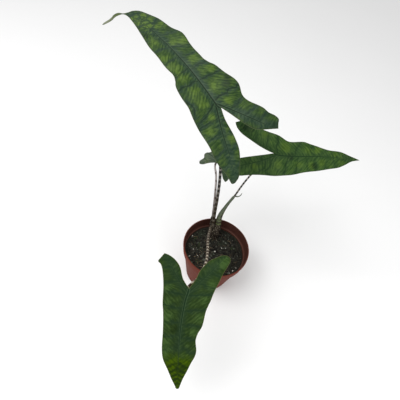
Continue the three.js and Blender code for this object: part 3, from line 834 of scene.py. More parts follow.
def half_rows(leaf, half):
    """Rows of (along, across) pairs over one half, each from the inner line, which is the lobe's
    inner margin and then the midrib, to the outer margin."""
    steps = leaf["steps"]
    outer = curve_through(half["outer"])
    lengths = lengths_along(outer)
    shoulder = lengths[np.argmax(outer[:, 0] >= leaf["sinus"][0])] / lengths[-1]
    lobe = (np.arange(steps["lobe"]) / steps["lobe"]) ** BLADE["rows_crowd"]
    body = np.linspace(0, 1, steps["body"] + 1)
    starts = np.vstack([at_shares(inner_margin(leaf, half), lobe), at_shares(midrib_line(leaf), body)])
    ends = at_shares(outer, np.concatenate([lobe * shoulder, mix(shoulder, 1, body)]))
    shares = np.linspace(0, 1, steps["across"] + 1) ** BLADE["columns_crowd"]
    return starts[:, None] + (ends - starts)[:, None] * shares[None, :, None]


def blade_sheet(leaf):
    """The open sheet of a blade: its (along, across) corners, the side that each is on, which is 0 on
    the midrib, and its faces seen from above."""
    corners, sides, known, faces = [], [], {}, []

    def corner(point, side):
        key = (round(point[0], 2), round(point[1], 2))
        if key not in known:
            known[key] = len(corners)
            corners.append(point)
            sides.append(side)
        elif sides[known[key]] != side:
            sides[known[key]] = 0
        return known[key]

    for name, side in SIDES.items():
        index = [[corner(point, side) for point in row] for row in half_rows(leaf, leaf[name])]
        for row, after in zip(index, index[1:]):
            for j in range(len(row) - 1):
                face = [row[j], after[j], after[j + 1], row[j + 1]][::side]
                kept = tuple(at for k, at in enumerate(face) if at != face[k - 1])
                if len(set(kept)) > 2:
                    faces.append(kept)
    return np.array(corners), np.array(sides), faces


def lateral_field(leaf, half, side):
    """A smooth count of side veins over one half: whole numbers lie on the veins, 0 and up along
    the body and below 0 along the lobe."""
    outer = curve_through(half["outer"])
    places, values = [], []
    for number, (start, lean) in enumerate(half["laterals"]):
        base = on_line(leaf["midrib"], start)
        reach = abs(np.interp(start, outer[:, 0], outer[:, 1]) - base)
        for share in (0, 0.35, 0.7, 1.05):
            places.append((start + lean * reach * share, base + side * reach * share))
            values.append(number)
    rib = curve_through(half["rib"])
    step = LOBE_VEINS["step"] / lengths_along(rib)[-1]
    for number in range(1, int(1 / step) + 1):
        here, there = at_shares(rib, [number * step - 0.03, min(1, number * step + 0.03)])
        ahead = (there - here) / np.linalg.norm(there - here)
        outward = np.array([ahead[1], -ahead[0]]) * side
        for out in (0, 0.5, 1):
            way = outward + ahead * LOBE_VEINS["lean"]
            places.append((here + there) / 2 + way * LOBE_VEINS["reach"] * out)
            values.append(-number)
    return thin_plate(places, np.array(values, float))


def count_of_veins(leaf, half, side, points, gap, length):
    """At points of one half, the smooth count of side veins and the room between two of them. Gap
    and length say where the points are beside the lobe's rib, and gap is below 0 inside it."""
    field = lateral_field(leaf, half, side)
    step = 0.5
    number = field(points)
    slope = [field(points + way) - field(points - way) for way in ([step, 0], [0, step])]
    room = 2 * step / np.maximum(np.linalg.norm(slope, axis=0), 1e-3)
    inside = gap < 0
    leaning = length[inside] - LOBE_VEINS["inner_lean"] * gap[inside]
    number[inside] = LOBE_VEINS["inner_start"] - leaning / LOBE_VEINS["step"]
    room[inside] = LOBE_VEINS["step"]
    return number, np.minimum(room, WIDEST_ROOM)


def patches(corners, centres):
    """How near each corner is to any of the centres, from 0 to 1."""
    away = np.linalg.norm(corners[:, None] - np.array(centres, float), axis=2)
    return np.minimum(hump(away, BLADE["glow"]).sum(axis=1), 1)


def blade_fields(leaf, corners, sides):
    """What the paint reads at each corner of a blade, in millimetres: distances from the midrib, the
    lobes' ribs and the margin, the count of side veins and the room between them, and a place
    for the fine strokes, across them and along them."""
    count = len(corners)
    along = corners[:, 0]
    midrib_gap = np.abs(beside_line(corners, midrib_line(leaf))[0]) * sides
    rib_gap, lateral, room = np.zeros((3, count))
    stroke = np.zeros((count, 3))
    edge = np.full(count, np.inf)
    for name, side in SIDES.items():
        half = leaf[name]
        mine = (sides < 0) == (side < 0)
        gap, length = beside_line(corners[mine], curve_through(half["rib"]))
        gap *= -side
        rib_gap[mine] = gap
        lateral[mine], room[mine] = count_of_veins(leaf, half, side, corners[mine], gap, length)
        out, lobe_out = np.abs(midrib_gap[mine]), np.abs(gap)
        in_lobe = smooth(-along[mine], 0, 24)
        across = mix(along[mine] + STROKE["lean"] * out, STROKE["lobe_lean"] * lobe_out - length, in_lobe)
        own_pattern = 100 * side + 40 * (gap < 0)
        stroke[mine] = np.column_stack([across, mix(out, lobe_out, in_lobe), own_pattern])
        for margin in (curve_through(half["outer"], 12), inner_margin(leaf, half, 12)):
            edge = np.minimum(edge, np.abs(beside_line(corners, margin)[0]))
    tip = leaf["midrib"][-1][0]
    far = np.where(along > 0, along / tip, np.hypot(*corners.T) / RIB["lobe_tip"])
    return {
        "glow": patches(corners, leaf["glow"]),
        "dark_patch_and_shade": patches(corners, leaf["dark_patch_and_shade"]),
        "midrib_gap": midrib_gap,
        "rib_gap": rib_gap,
        "lateral": lateral,
        "room": room,
        "edge": edge,
        "stroke": stroke,
        "place": np.column_stack([corners, np.full(count, leaf["seat"][0])]),
        "rib_width": mix(*RIB["width"], np.clip(far, 0, 1) ** 0.8),
    }


def blade_relief(fields):
    """How far the upper face rises between the veins and sinks along them, and how far the keels
    stand out below, in millimetres."""
    rib = np.minimum(np.abs(fields["midrib_gap"]), np.abs(fields["rib_gap"]))
    lateral = np.abs(fields["lateral"] - np.round(fields["lateral"])) * fields["room"]
    wide = fields["rib_width"]

    def ridge(name, gap, unit):
        height, reach = RELIEF[name]
        return height * unit * hump(gap, reach * unit)

    height, reach = RELIEF["pillow"]
    inside = 1 - hump(fields["edge"], reach)
    pillow = height * (1 - hump(lateral, reach)) * (1 - hump(rib, reach + 1)) * inside
    crease = ridge("crease", lateral, 1) * inside
    keel = ridge("keel", rib, wide) * inside
    return pillow - ridge("groove", rib, wide) - crease, pillow - crease - keel


def make_blade(key):
    leaf = LEAVES[key]
    corners, sides, faces = blade_sheet(leaf)
    fields = blade_fields(leaf, corners, sides)
    above, below = blade_relief(fields)
    half = mix(BLADE["edge"], BLADE["middle"], smooth(fields["edge"], 0, 2.5)) / 2
    top = blade_points(leaf, *corners.T, above + half)
    bottom = blade_points(leaf, *corners.T, below - half)
    points, faces = closed_sheet(top, bottom, faces)
    doubled = {name: np.concatenate([values, values]) for name, values in fields.items()}
    doubled["under"] = np.repeat([0, 1], len(corners))
    make_piece(f"blade_{key}", points, faces, leaf_paint(key), "leaf", stands_for=[f"leaf_{key}"],
               fields=doubled)


def strokes(p, length, depth):
    """Feathery strokes, from 0 in the dark ones to 1 in the light ones. They wander, break up along
    their length and have finer ones among them."""
    stroke = p.drift(p.field("stroke", "Vector"), 0.06, STROKE["wander"])
    wave = p.math("SINE", p.part(stroke, 0) * (2 * math.pi / STROKE["pitch"]))
    broken = p.noise(stroke, (1 / STROKE["width"], 1 / length, 0.04), 2.0, 0.6) - 0.5
    return p.level(p.smooth(wave * 0.16 + broken * 2.6, -0.6, 0.6), 0.5 - depth / 2, 0.5 + depth / 2)


def leaf_paint(key):
    tones = LEAF_TONES[key]
    light, veil = tones["light"], VEIL * tones["sheen"]
    p = Paint(f"leaf_{key}")

    def tone(name):
        return seen(*tones[name], light, veil)

    def swing(name):
        return p.blend(stroke, *(seen(*part, light, veil) for part in tones[name]))

    place = p.field("place", "Vector")
    midrib, lobe_rib = abs(p.field("midrib_gap")), abs(p.field("rib_gap"))
    rib = p.math("MINIMUM", midrib, lobe_rib)
    edge, width = p.field("edge"), p.field("rib_width")
    wobble = p.noise(place, 0.11) - 0.5
    lateral = p.math("PINGPONG", p.field("lateral") + wobble * 0.3, 0.5) * p.field("room")
    stroke = strokes(p, tones["stroke_length"], tones["stroke_depth"])

    # zones with ragged edges along the veins, in distances from them
    ragged = (p.noise(place, 0.28, 3.0) - 0.5) * 9.0
    by_lateral = p.smooth(lateral + ragged, tones["zone_reach"], 0.8)
    by_rib = p.smooth(rib + ragged, 10.0, 2.0)
    base = p.blend(p.math("MAXIMUM", by_lateral, by_rib), swing("field"), swing("zone"))

    # bright patches between the veins and in the meshes of the net, feathered out by the strokes
    meshes = p.cells(p.drift(place, 0.16, 5.0), 0.09, "DISTANCE_TO_EDGE")
    netted = p.smooth(p.part(place, 0), *tones["netted"])
    between = p.smooth(lateral, 2.5, 7.0) * p.smooth(rib, 4.0, 9.0)
    in_mesh = p.smooth(meshes, 0.05, 0.3) * netted
    cloud = p.noise(place, 0.17, 3.0, 0.6) - 0.5
    glow = p.field("glow") + between * 0.22 + in_mesh * (0.7 * tones["net"])
    glow = glow + (stroke - 0.5) * 0.5 + cloud * 1.5
    base = p.blend(p.smooth(glow, 0.0, 1.25) * 0.9, base, swing("bright"))
    net = p.smooth(meshes, 0.13, 0.02) * p.level(netted, 0.35, 1.0)
    base = p.blend(net * tones["net"], base, seen(*tones["zone"][0], light, veil))
    if key == "a":
        base = olive_tail(p, base, place, stroke, veil)
    if key == "c":
        base = yellow_tip(p, base, place, lateral, wobble, stroke, veil)
    # dark patches, partly painted shade on lobes that lie in shade
    dark_patch_and_shade = p.smooth(p.field("dark_patch_and_shade"), 0.15, 0.9) * p.level(stroke, 0.9, 0.4)
    base = p.blend(dark_patch_and_shade, base, tone("dark_patch_and_shade"))

    # veins: a dark line between two pale seams, fainter towards the tip and in the lobes
    thin_vein = p.smooth(lateral, 1.5, 0.4) * p.level(p.smooth(width, 0.5, 1.1), 0.15, 0.75)
    base = p.blend(thin_vein, base, tone("vein"))
    for gap, share in ((lobe_rib, tones["ribs"]), (midrib, 1.0)):
        beside = gap / width
        strength = p.smooth(width, 0.28, 0.62) * share
        seam = p.smooth(beside, 0.8, 1.2) * p.smooth(beside, 2.0, 1.4)
        base = p.blend(seam * strength * tones["seams"], base, tone("seam"))
        base = p.blend(p.smooth(beside, 1.2, 0.6) * strength * 0.95, base, tone("vein"))
    for name, reach in (("line", (1.7, 0.7)), ("rim", (0.55, 0.2))):
        base = p.blend(p.smooth(edge, *reach) * 0.7, base, tone(name))

    underside = p.blend(0.6, base, seen(124, 142, 108))
    underside = p.blend(p.smooth(rib / width, 1.6, 1.0), underside, seen(142, 152, 120))
    base = p.blend(p.field("under"), base, underside)
    p.bump(stroke * 0.7 + p.noise(place, 1.6, 3.0) * 0.3, 0.3, 0.45)
    return p.finish(base, p.level(p.noise(place, 0.2), 0.48, 0.6), tones["sheen"])


def olive_tail(p, base, place, stroke, veil):
    """The narrow tail past the top leaf's tip is pale olive, paler towards its end."""
    along = p.part(place, 0)
    olive = p.blend(stroke, seen(72, 84, 42, 1.2, veil), seen(92, 104, 60, 1.2, veil))
    olive = p.blend(p.smooth(along, 216.0, 244.0), olive, seen(136, 140, 116, 1.2, veil))
    return p.blend(p.smooth(along, 200.0, 214.0) * 0.95, base, olive)


def yellow_tip(p, base, place, lateral, wobble, stroke, veil):
    """The last third of the front leaf is yellow-green, with dark slanting stripes."""
    along = p.part(place, 0) + wobble * 22.0
    yellow = p.blend(stroke, seen(46, 70, 0, 1.35, veil), seen(78, 102, 4, 1.35, veil))
    base = p.blend(p.smooth(along, 72.0, 94.0), base, yellow)
    torn = (p.noise(place, 0.45, 3.0, 0.6) - 0.5) * 5.0
    stripes = p.smooth(lateral + torn, 2.8, 0.8) * p.smooth(along, 84.0, 98.0)
    return p.blend(stripes * 0.75, base, seen(30, 48, 0, 1.35, veil))


# Stalks


def stalk_line(key):
    """A stalk's curve, from the corm to just under its blade, which it meets at a slant."""
    stalk, leaf = STALKS[key], LEAVES[key]
    under = stalk["radius"][1] + BLADE["clear_of_stalk"]
    approach = blade_points(leaf, -5, 0, -under - 3.5)
    end = blade_points(leaf, 7, 0, -under)
    return curve_through(np.vstack([stalk["path"], approach, end]), 40, centripetal=True)


def share_of(line, place, steps=40):
    """The share of a dense curve's length at a place counted in the points of its path."""
    lengths = lengths_along(line)
    return np.interp(place * steps, np.arange(len(line)), lengths) / lengths[-1]


def banded(p, place, pitch, dark, pale, blotch):
    """Dark blotches like snakeskin in ragged bands round the stalk, with pale gaps between them that
    hold dark specks. Dark says how much of the way the blotches take."""
    wave = p.math("SINE", p.part(p.drift(place, 0.22, 7.0), 2) * (2 * math.pi / pitch))
    ragged = p.noise(place, (0.5, 0.5, 0.3), 3.0, 0.65) - 0.5
    threshold, soft = 0.62 - 1.25 * dark, 0.14
    bands = p.smooth(wave * 0.5 + ragged * 1.9, threshold - soft, threshold + soft)
    pale_tone, grey_tone, dark_tone = (
        seen(*tone, STALK_LIGHT) for tone in (pale, [0.82 * part for part in pale], blotch))
    base = p.blend(p.noise(place, (1.6, 1.6, 0.08)), pale_tone, grey_tone)
    base = p.blend(p.smooth(p.noise(place, 1.3), 0.58, 0.68) * 0.6, base, dark_tone)
    return p.blend(bands, base, dark_tone)


def stalk_paint(key):
    """Banded, with painted shade darkening its sides, and brown towards its foot."""
    tones = STALK_TONES[key]
    p = Paint(f"petiole_{key}")
    place = p.field("place", "Vector")
    base = banded(p, place, tones["pitch"], tones["dark"], tones["pale"], tones["blotch"])
    # painted shade: the stalk's left and right sides are darkened with its blotch tone, along a ragged edge
    shade_wobble = (p.noise(place, (0.5, 0.5, 0.12)) - 0.5) * 1.6
    radius = sum(STALKS[key]["radius"]) / 2
    flank = p.smooth(abs(p.part(place, 1)) + shade_wobble, 0.5 * radius, 0.85 * radius)
    base = p.blend(flank * tones["flank_shade"], base, seen(*tones["blotch"], STALK_LIGHT))
    low = p.smooth(p.part(place, 2), 105.0, 50.0)
    base = p.blend(low * 0.55, base, seen(60, 52, 42, STALK_LIGHT))
    p.bump(p.noise(place, (2.0, 2.0, 0.5), 3.0), 0.2, 0.4)
    return p.finish(base, p.level(p.noise(place, 0.5), 0.45, 0.6), 0.25)


def make_petiole(key):
    """A stalk that thickens a little under its blade and runs out along the keel."""
    stalk, leaf, line = STALKS[key], LEAVES[key], stalk_lines[key]
    shares = np.linspace(share_of(line, stalk["start"]), 1, 230)
    course = at_shares(line, shares)
    swelling = 1 + 0.10 * hump(shares - 0.985, 0.02)
    radii = mix(*stalk["radius"], shares) * swelling
    under_blade = ((15, stalk["radius"][1] + 0.5), (26, 0.9))
    keel = [blade_points(leaf, along, 0, -below)[0] for along, below in under_blade]
    run_out = curve_through([course[-2], course[-1], *keel], 12)[13:]
    taper = radii[-1] * np.linspace(1, 0.3, len(run_out) + 1)[1:]
    course, radii = np.vstack([course, run_out]), np.concatenate([radii, taper])[:, None]
    sides = 24
    along = lengths_along(course)[:, None]
    uneven = 1 + 0.035 * np.sin(3 * circle(sides) + 0.05 * along) + 0.02 * np.sin(0.33 * along)
    points, faces, places = tube(course, radii * uneven, sides)
    make_piece(f"stalk_{key}", points, faces, stalk_paint(key), "petiole",
               stands_for=[f"petiole_{key}"], fields={"place": places})


def sheath_paint():
    """Grey-green and streaked, with a dark mottled flank and foot. The dark flank is partly the sheath's own
    mottling and partly painted shade on that side.
    """
    p = Paint("sheath")
    place = p.field("place", "Vector")
    streak = p.noise(place, (0.9, 0.9, 0.05), 3.0)
    green = p.blend(streak, seen(106, 114, 98, 0.9), seen(72, 80, 62, 0.9))
    spotted = banded(p, place, 7.0, 0.44, (98, 104, 72), (48, 42, 30))
    foot = p.smooth(p.part(place, 2) + streak * 20.0, 48.0, 16.0)
    # one side gets the dark mottling, which also stands for painted shade on that side
    flank = p.smooth(p.part(place, 1) + (streak - 0.5), -0.4, -1.8)
    base = p.blend(p.math("MAXIMUM", foot, flank), green, spotted)
    p.bump(p.noise(place, (3.0, 3.0, 0.12)), 0.25, 0.5)
    return p.finish(base, p.level(p.noise(place, 0.4), 0.42, 0.58), 0.3)


def make_sheath():
    """The wrapped sheath round the second stalk: a ribbed tube with a lapped edge that winds round
    it, and the flat free tip that curls away from it."""
    line = stalk_lines["b"]
    shares = np.linspace(share_of(line, SHEATH["start"]), share_of(line, SHEATH["mouth"]), 90)
    along = ((shares - shares[0]) / (shares[-1] - shares[0]))[:, None]
    sides = 36
    lap_angle = 0.9 + 1.1 * along
    turn = (circle(sides) - lap_angle + np.pi) % (2 * np.pi) - np.pi
    lap = 0.45 * hump(turn - 0.25, 0.22) * (turn > 0) + 0.1 * np.cos(turn)
    radii = on_line(SHEATH["radius"], along) + lap + 0.07 * np.sin(14 * circle(sides))
    heap = Heap()
    points, faces, places = tube(at_shares(line, shares), radii * closing(along, 0.05, 0.32), sides)
    heap.add(points, faces, place=places)
    tip = even_course(SHEATH["tip"], 60)
    share = np.linspace(0, 1, len(tip))[:, None]
    wide = 1.5 * mix(*SHEATH["tip_radius"], share) * closing(share, 0.06, 0.05)
    points, faces, places = tube(tip, wide * (1 - 0.15 * np.abs(np.sin(circle(16)))), 16)
    heap.add(points, faces, place=places + [0, 0, SHEATH["tip_place"]])
    heap.piece("sheath", sheath_paint(), "sheath", stands_for=["sheath_b"])


# Crown


def crown_paint():
    """Dark brown-grey skin with pale beads, and earth on its lower part."""
    p = Paint("crown")
    place = p.millimetres()
    mottle = p.noise(place, (0.405, 0.405, 0.1575), 3.0, 0.6)
    skin = p.blend(p.smooth(mottle, 0.36, 0.62), seen(42, 37, 33, 0.8), seen(66, 61, 54, 0.8))
    beads = p.smooth(p.cells(p.drift(place, 0.5, 1.6), 0.38), 0.36, 0.24)
    skin = p.blend(beads * 0.75, skin, seen(134, 126, 112, 0.8))
    earth = p.smooth(p.part(place, 2) + mottle * 9.0, 85.0, 79.0)
    base = p.blend(earth, skin, seen(36, 31, 26, 0.8))
    p.bump(p.noise(place, (2.4, 2.4, 0.5), 3.0) + beads, 0.5, 0.6)
    return p.finish(base, p.level(mottle, 0.6, 0.8), 0.2)


def scale_leaf(foot, lean, height, width, draw):
    """A dry pointed scale at the foot of the stalks: a thin curved shell that hugs the crown."""
    rows, columns = 14, 9
    outward, sideways = towards(lean), towards(lean + math.pi / 2)
    points = []
    for share in np.linspace(0, 1, rows):
        half = width / 2 * (1 - share**1.6) ** 0.8 + 0.15
        flare = 1.6 * share**2 + 0.5 * math.sin(3 * share + draw.between(0, 0.4))
        for turn in np.linspace(-half, half, columns):
            cup = turn**2 / (1.6 * width)
            points.append(foot + [0, 0, height * share] + outward * (flare - cup) + sideways * turn)
    cells = []
    for row in range(rows - 1):
        for corner in range(row * columns, (row + 1) * columns - 1):
            cells.append((corner, corner + 1, corner + columns + 1, corner + columns))
    return closed_sheet(points + outward * 0.25, points - outward * 0.1, cells)


def sleeve(key):
    """A wrinkled sleeve round a stalk, from the corm up to its mouth."""
    line, sleeve = stalk_lines[key], STALKS[key]["sleeve"]
    along = np.linspace(0, 1, 60)[:, None]
    course = at_shares(line, along[:, 0] * share_of(line, sleeve["mouth"]))
    sides = 36
    wrinkle = 0.22 * np.sin(9 * circle(sides) + 4 * along) + 0.14 * np.sin(23 * along + 2 * circle(sides))
    radii = (mix(*sleeve["radius"], along) - 0.2 + wrinkle) * closing(along, 0.06, 0.4)
    return tube(course, radii, sides)[:2]


def surface_root(centre, angle):
    """A root that leaves the crown at the surface and dips into the soil."""
    course = [(5, 79), (9.5, 79.8), (14, 77), (17, 73.5)]
    points = [centre + towards(angle, out) + [0, 0, height] for out, height in course]
    return tube(even_course(points, 30, 20), np.linspace(1.3, 0.8, 30)[:, None], 14)[:2]


def deep_root(end):
    """A root that bends down from the corm to its end in the lower soil."""
    start, bend = np.array([-8, 31, 54]), np.array([end[0], end[1], 50])
    share = np.linspace(0, 1, 30)[:, None]
    course = mix(mix(start, bend, share), mix(bend, np.array(end), share), share)
    return tube(course, np.linspace(2, 0.9, 30)[:, None], 12)[:2]


def make_crown():
    """Corm and first roots in the soil, a wrinkled sleeve round each stalk, and dry scales."""
    heap = Heap()
    centre = np.array([*CORM["centre"], 0.0])
    points, faces = lathe(curve_through(CORM["profile"], 6)[1:-1], 40)
    heap.add(points + centre, faces)
    for key in STALKS:
        heap.add(*sleeve(key))
    draw = Draw(29)
    for lean, height, out in CORM["scales"]:
        foot = centre + towards(math.radians(lean), out) + [0, 0, SOIL["level"] - 1.5]
        heap.add(*scale_leaf(foot, math.radians(lean), height, CORM["scale_width"], draw))
    for angle in CORM["surface_roots"]:
        heap.add(*surface_root(centre, angle))
    for end in CORM["deep_roots"]:
        heap.add(*deep_root(end))
    heap.piece("crown_base", crown_paint(), "crown", stands_for=["crown"])


# Soil


def soil_height(x, y):
    """The soil's surface rises round the crown and sinks towards the wall."""
    cx, cy = CORM["centre"]
    mound = SOIL["mound"] * hump(np.hypot(x - cx, y - cy), SOIL["mound_width"])
    waves = sum(height * np.sin(by_x * x + shift) * np.cos(by_y * y)
                for height, by_x, by_y, shift in SOIL["waves"])
    hollow = SOIL["hollow"] * (np.hypot(x, y) / SOIL["hollow_reach"]) ** 4
    return SOIL["level"] + mound + waves - hollow


def soil_paint():
    """Moist black peat with pale specks and a few mossy stains."""
    p = Paint("soil")
    place = p.millimetres()
    lumps = p.noise(place, 0.5, 4.0, 0.65)
    specks = p.noise(place, 1.9, 3.0, 0.7)
    base = p.blend(p.smooth(lumps, 0.3, 0.7), colour(20, 20, 17), colour(50, 49, 42))
    base = p.blend(p.smooth(specks, 0.56, 0.66) * 0.6, base, colour(84, 84, 76))
    base = p.blend(p.smooth(p.noise(place, 0.06), 0.5, 0.62) * 0.3, base, colour(40, 52, 34))
    p.bump(lumps + specks, 1.0, 0.9)
    return p.finish(base, p.level(specks, 0.85, 1.0), 0.15)


def crumb_paint():
    """Crumbs from black peat to grey-green lumps."""
    p = Paint("crumbs")
    place = p.millimetres()
    tone = p.field("tone")
    base = p.blend(p.smooth(tone, 0.0, 0.6), colour(18, 17, 15), colour(52, 48, 40))
    base = p.blend(p.smooth(tone, 0.6, 1.0), base, colour(92, 96, 86))
    base = p.blend(p.smooth(p.noise(place, 2.2, 3.0), 0.5, 0.7), base, colour(34, 31, 27))
    p.bump(p.noise(place, 3.0, 3.0), 0.3, 0.8)
    return p.finish(base, p.level(tone, 0.95, 0.8), 0.15)


def perlite_paint():
    """Off-white and stained, and darker in its pits as painted shade."""
    p = Paint("perlite")
    place = p.millimetres()
    pits = p.cells(place, 1.6)
    # painted shade: darker in the pits
    base = p.blend(p.smooth(pits, 0.1, 0.5), colour(150, 146, 136), colour(214, 210, 200))
    base = p.blend(p.smooth(p.noise(place, 0.9), 0.5, 0.68) * 0.7, base, colour(112, 102, 86))
    p.bump(pits, 0.3, 0.8)
    return p.finish(base, p.level(pits, 0.8, 0.95), 0.3)


def strand_paint(name, dark, light, stain, stain_scale, roughness, sheen):
    """Each strand has its own tone between dark and light, and stains of a third tone."""
    p = Paint(name)
    place = p.millimetres()
    base = p.blend(p.field("tone"), colour(*dark), colour(*light))
    base = p.blend(p.noise(place, stain_scale) * 0.5, base, colour(*stain))
    return p.finish(base, p.level(p.noise(place, 2.0), *roughness), sheen)


def make_soil():
    """The block of soil with a rough surface, just clear of the pot's floor and wall."""
    clearance, rings, sides, steps = 0.3, 96, 220, 8
    level, bottom = SOIL["level"], POT["floor"] + clearance
    inner_wall = [(POT["floor"], POT["base_radius"] - POT["wall"]), (LEDGE, NECK - POT["wall"])]
    foot, shoulder = (on_line(inner_wall, height) - clearance for height in (bottom, level - 2))
    profile = [(foot * 0.5, bottom), (foot, bottom)]
    profile += [(mix(foot, shoulder, k / steps), mix(bottom, level - 3, k / steps)) for k in range(1, steps)]
    profile += [(shoulder * (rings - i) / rings, level) for i in range(rings)]
    points, faces = lathe(profile, sides)
    top = points[:, 2] > level - 1
    flat = points[top] * [1, 1, 0]
    x, y, _ = flat.T
    rough = sum(height * roughness_at(flat, size, seed) for height, size, seed in SOIL["rough"])
    settle = smooth(np.hypot(x, y), shoulder, shoulder - 3)
    points[top, 2] = soil_height(x, y) + rough * mix(0.3, 1, settle)
    make_piece("soil_block", points, faces, soil_paint(), "soil", stands_for=["soil"], sharp=180)


def spot(draw, reach):
    """A random place within reach of the pot's axis, and how far it is from the crown."""
    angle, distance = draw.next() * 2 * math.pi, reach * math.sqrt(draw.next())
    x, y = distance * math.cos(angle), distance * math.sin(angle)
    return x, y, math.hypot(x - CORM["centre"][0], y - CORM["centre"][1])


def spot_on_soil(draw, reach=SOIL["crumb_reach"]):
    """A random place on the soil, clear of the crown."""
    from_crown = 0
    while from_crown <= SOIL["crown_clear"]:
        x, y, from_crown = spot(draw, reach)
    return np.array([x, y, soil_height(x, y)])


def turned(points, draw):
    turn = Matrix.Rotation(draw.heading(), 3, "Z") @ Matrix.Rotation(draw.between(-0.6, 0.6), 3, "X")
    return np.asarray(points) @ np.array(turn).T


def solid_grains():
    """Where the solid has its grains, as (x, y, radius)."""
    draw = Draw(SOIL["seed"])
    grains = []
    while len(grains) < SOIL["grains"]:
        x, y, from_crown = spot(draw, SOIL["grain_reach"])
        radius = draw.between(*SOIL["grain_radius"])
        if from_crown > SOIL["grain_clear"]:
            grains.append((x, y, radius))
    return grains


def make_crumbs():
    """Crumbs of peat and chips of bark on the surface, and a lump of peat at each of the solid's
    grains."""
    draw = Draw(53)
    heap = Heap()
    for _ in range(SOIL["crumbs"]):
        place = spot_on_soil(draw)
        radius = draw.between(0.45, 1.0) ** 2 * 1.9
        points, faces = lump(draw, radius, 1, 0.75)
        points = turned(points * [1, draw.between(0.55, 1), draw.between(0.45, 0.9)], draw)
        heap.add(points + place + [0, 0, 0.15 + 0.3 * radius], faces, tone=draw.next() ** 2)
    for _ in range(SOIL["chips"]):
        place = spot_on_soil(draw)
        points, faces = lump(draw, draw.between(1.2, 2.6), 1, 0.35)
        points = turned(points * [1, 0.5, 0.22], draw)
        heap.add(points + place + [0, 0, 0.7], faces, tone=draw.between(0.3, 0.9))
    for x, y, radius in solid_grains():
        points, faces = lump(draw, radius * 0.95, 2, 0.5)
        height = soil_height(x, y) + SOIL["grain_rise"] * radius
        heap.add(points * [1, 0.85, 0.8] + [x, y, height], faces, tone=draw.between(0.2, 0.95))
    heap.piece("soil_crumbs", crumb_paint(), "soil", sharp=35)


def make_perlite():
    """White grains: the ones that stand out, and small ones strewn between them."""
    draw = Draw(71)
    heap = Heap()
    for x, y, radius in SOIL["perlite"]:
        points, faces = lump(draw, radius, 2, 0.6)
        heap.add(turned(points, draw) + [x, y, soil_height(x, y) + 0.7 + 0.4 * radius], faces)
    for _ in range(SOIL["small_grains"]):
        place = spot_on_soil(draw)
        points, faces = lump(draw, draw.between(0.25, 0.45), 1, 0.5)
        heap.add(turned(points, draw) + place + [0, 0, 0.6], faces)
    heap.piece("perlite", perlite_paint(), "soil", sharp=60)


def moss_strand(x, y, draw):
    """A leaning strand of moss: a flat blade of three corners at its foot, middle and tip, with a
    ridge at its back."""
    half_width, thickness = 0.32, 0.14
    reach = draw.between(0.7, 1.9)
    way = draw.heading()
    side = towards(way, half_width)
    lean = towards(way + 1.5, draw.between(0.1, 0.9))
    foot = np.array([x, y, soil_height(x, y) - 0.2])
    tip = foot + lean + [0, 0, reach + 0.5]
    middle = (foot + tip) / 2 + [0, 0, 0.2]
    back = np.cross(side, tip - foot)
    ridge = middle + back / np.linalg.norm(back) * thickness
    points = [foot - side * 0.5, foot + side * 0.5, middle - side, middle + side, tip, ridge]
    return points, [(0, 1, 3, 2), (2, 3, 4), (1, 0, 5), (0, 2, 5), (3, 1, 5), (2, 4, 5), (4, 3, 5)]


def make_moss():
    """Low tufts of moss, thickest at the left and the front."""
    draw = Draw(37)
    heap = Heap()
    for patch_x, patch_y, spread, count in SOIL["moss"]:
        for _ in range(count):
            angle, distance = draw.heading(), spread * draw.next()
            x, y = patch_x + distance * math.cos(angle), patch_y + distance * math.sin(angle)
            if math.hypot(x, y) <= SOIL["moss_reach"]:
                heap.add(*moss_strand(x, y, draw), tone=draw.next())
    paint = strand_paint("moss", (44, 66, 26), (96, 128, 52), (60, 74, 34), 1.4, (0.7, 0.9), 0.25)
    heap.piece("moss", paint, "soil", sharp=30)


def make_fibres():
    """Fibres and fine roots that lie on the soil in loose curves. The first one is the thickest."""
    draw = Draw(83)
    heap = Heap()
    for number in range(SOIL["fibres"]):
        x, y, _ = spot_on_soil(draw, SOIL["fibre_reach"])
        way, bend = draw.heading(), draw.between(-0.25, 0.25)
        step = draw.between(0.7, 1.5)
        points = []
        for k in range(8):
            arch = 0.9 * math.sin(k / 7 * math.pi) * draw.next()
            points.append((x, y, soil_height(x, y) + 0.5 + arch))
            x, y = x + step * math.cos(way), y + step * math.sin(way)
            way += bend + draw.between(-0.2, 0.2)
        if math.hypot(x, y) > SOIL["crumb_reach"]:
            continue
        course = curve_through(points, 4, centripetal=True)
        thick = draw.between(0.16, 0.34) if number else 0.6
        radii = thick * (1 - 0.5 * np.linspace(-1, 1, len(course)) ** 2)
        heap.add(*tube(course, radii[:, None], 7)[:2], tone=draw.next())
    paint = strand_paint("fibres", (66, 50, 36), (150, 132, 104), (84, 66, 48), 1.2, (0.75, 0.95), 0.2)
    heap.piece("fibres", paint, "soil")


# Pot


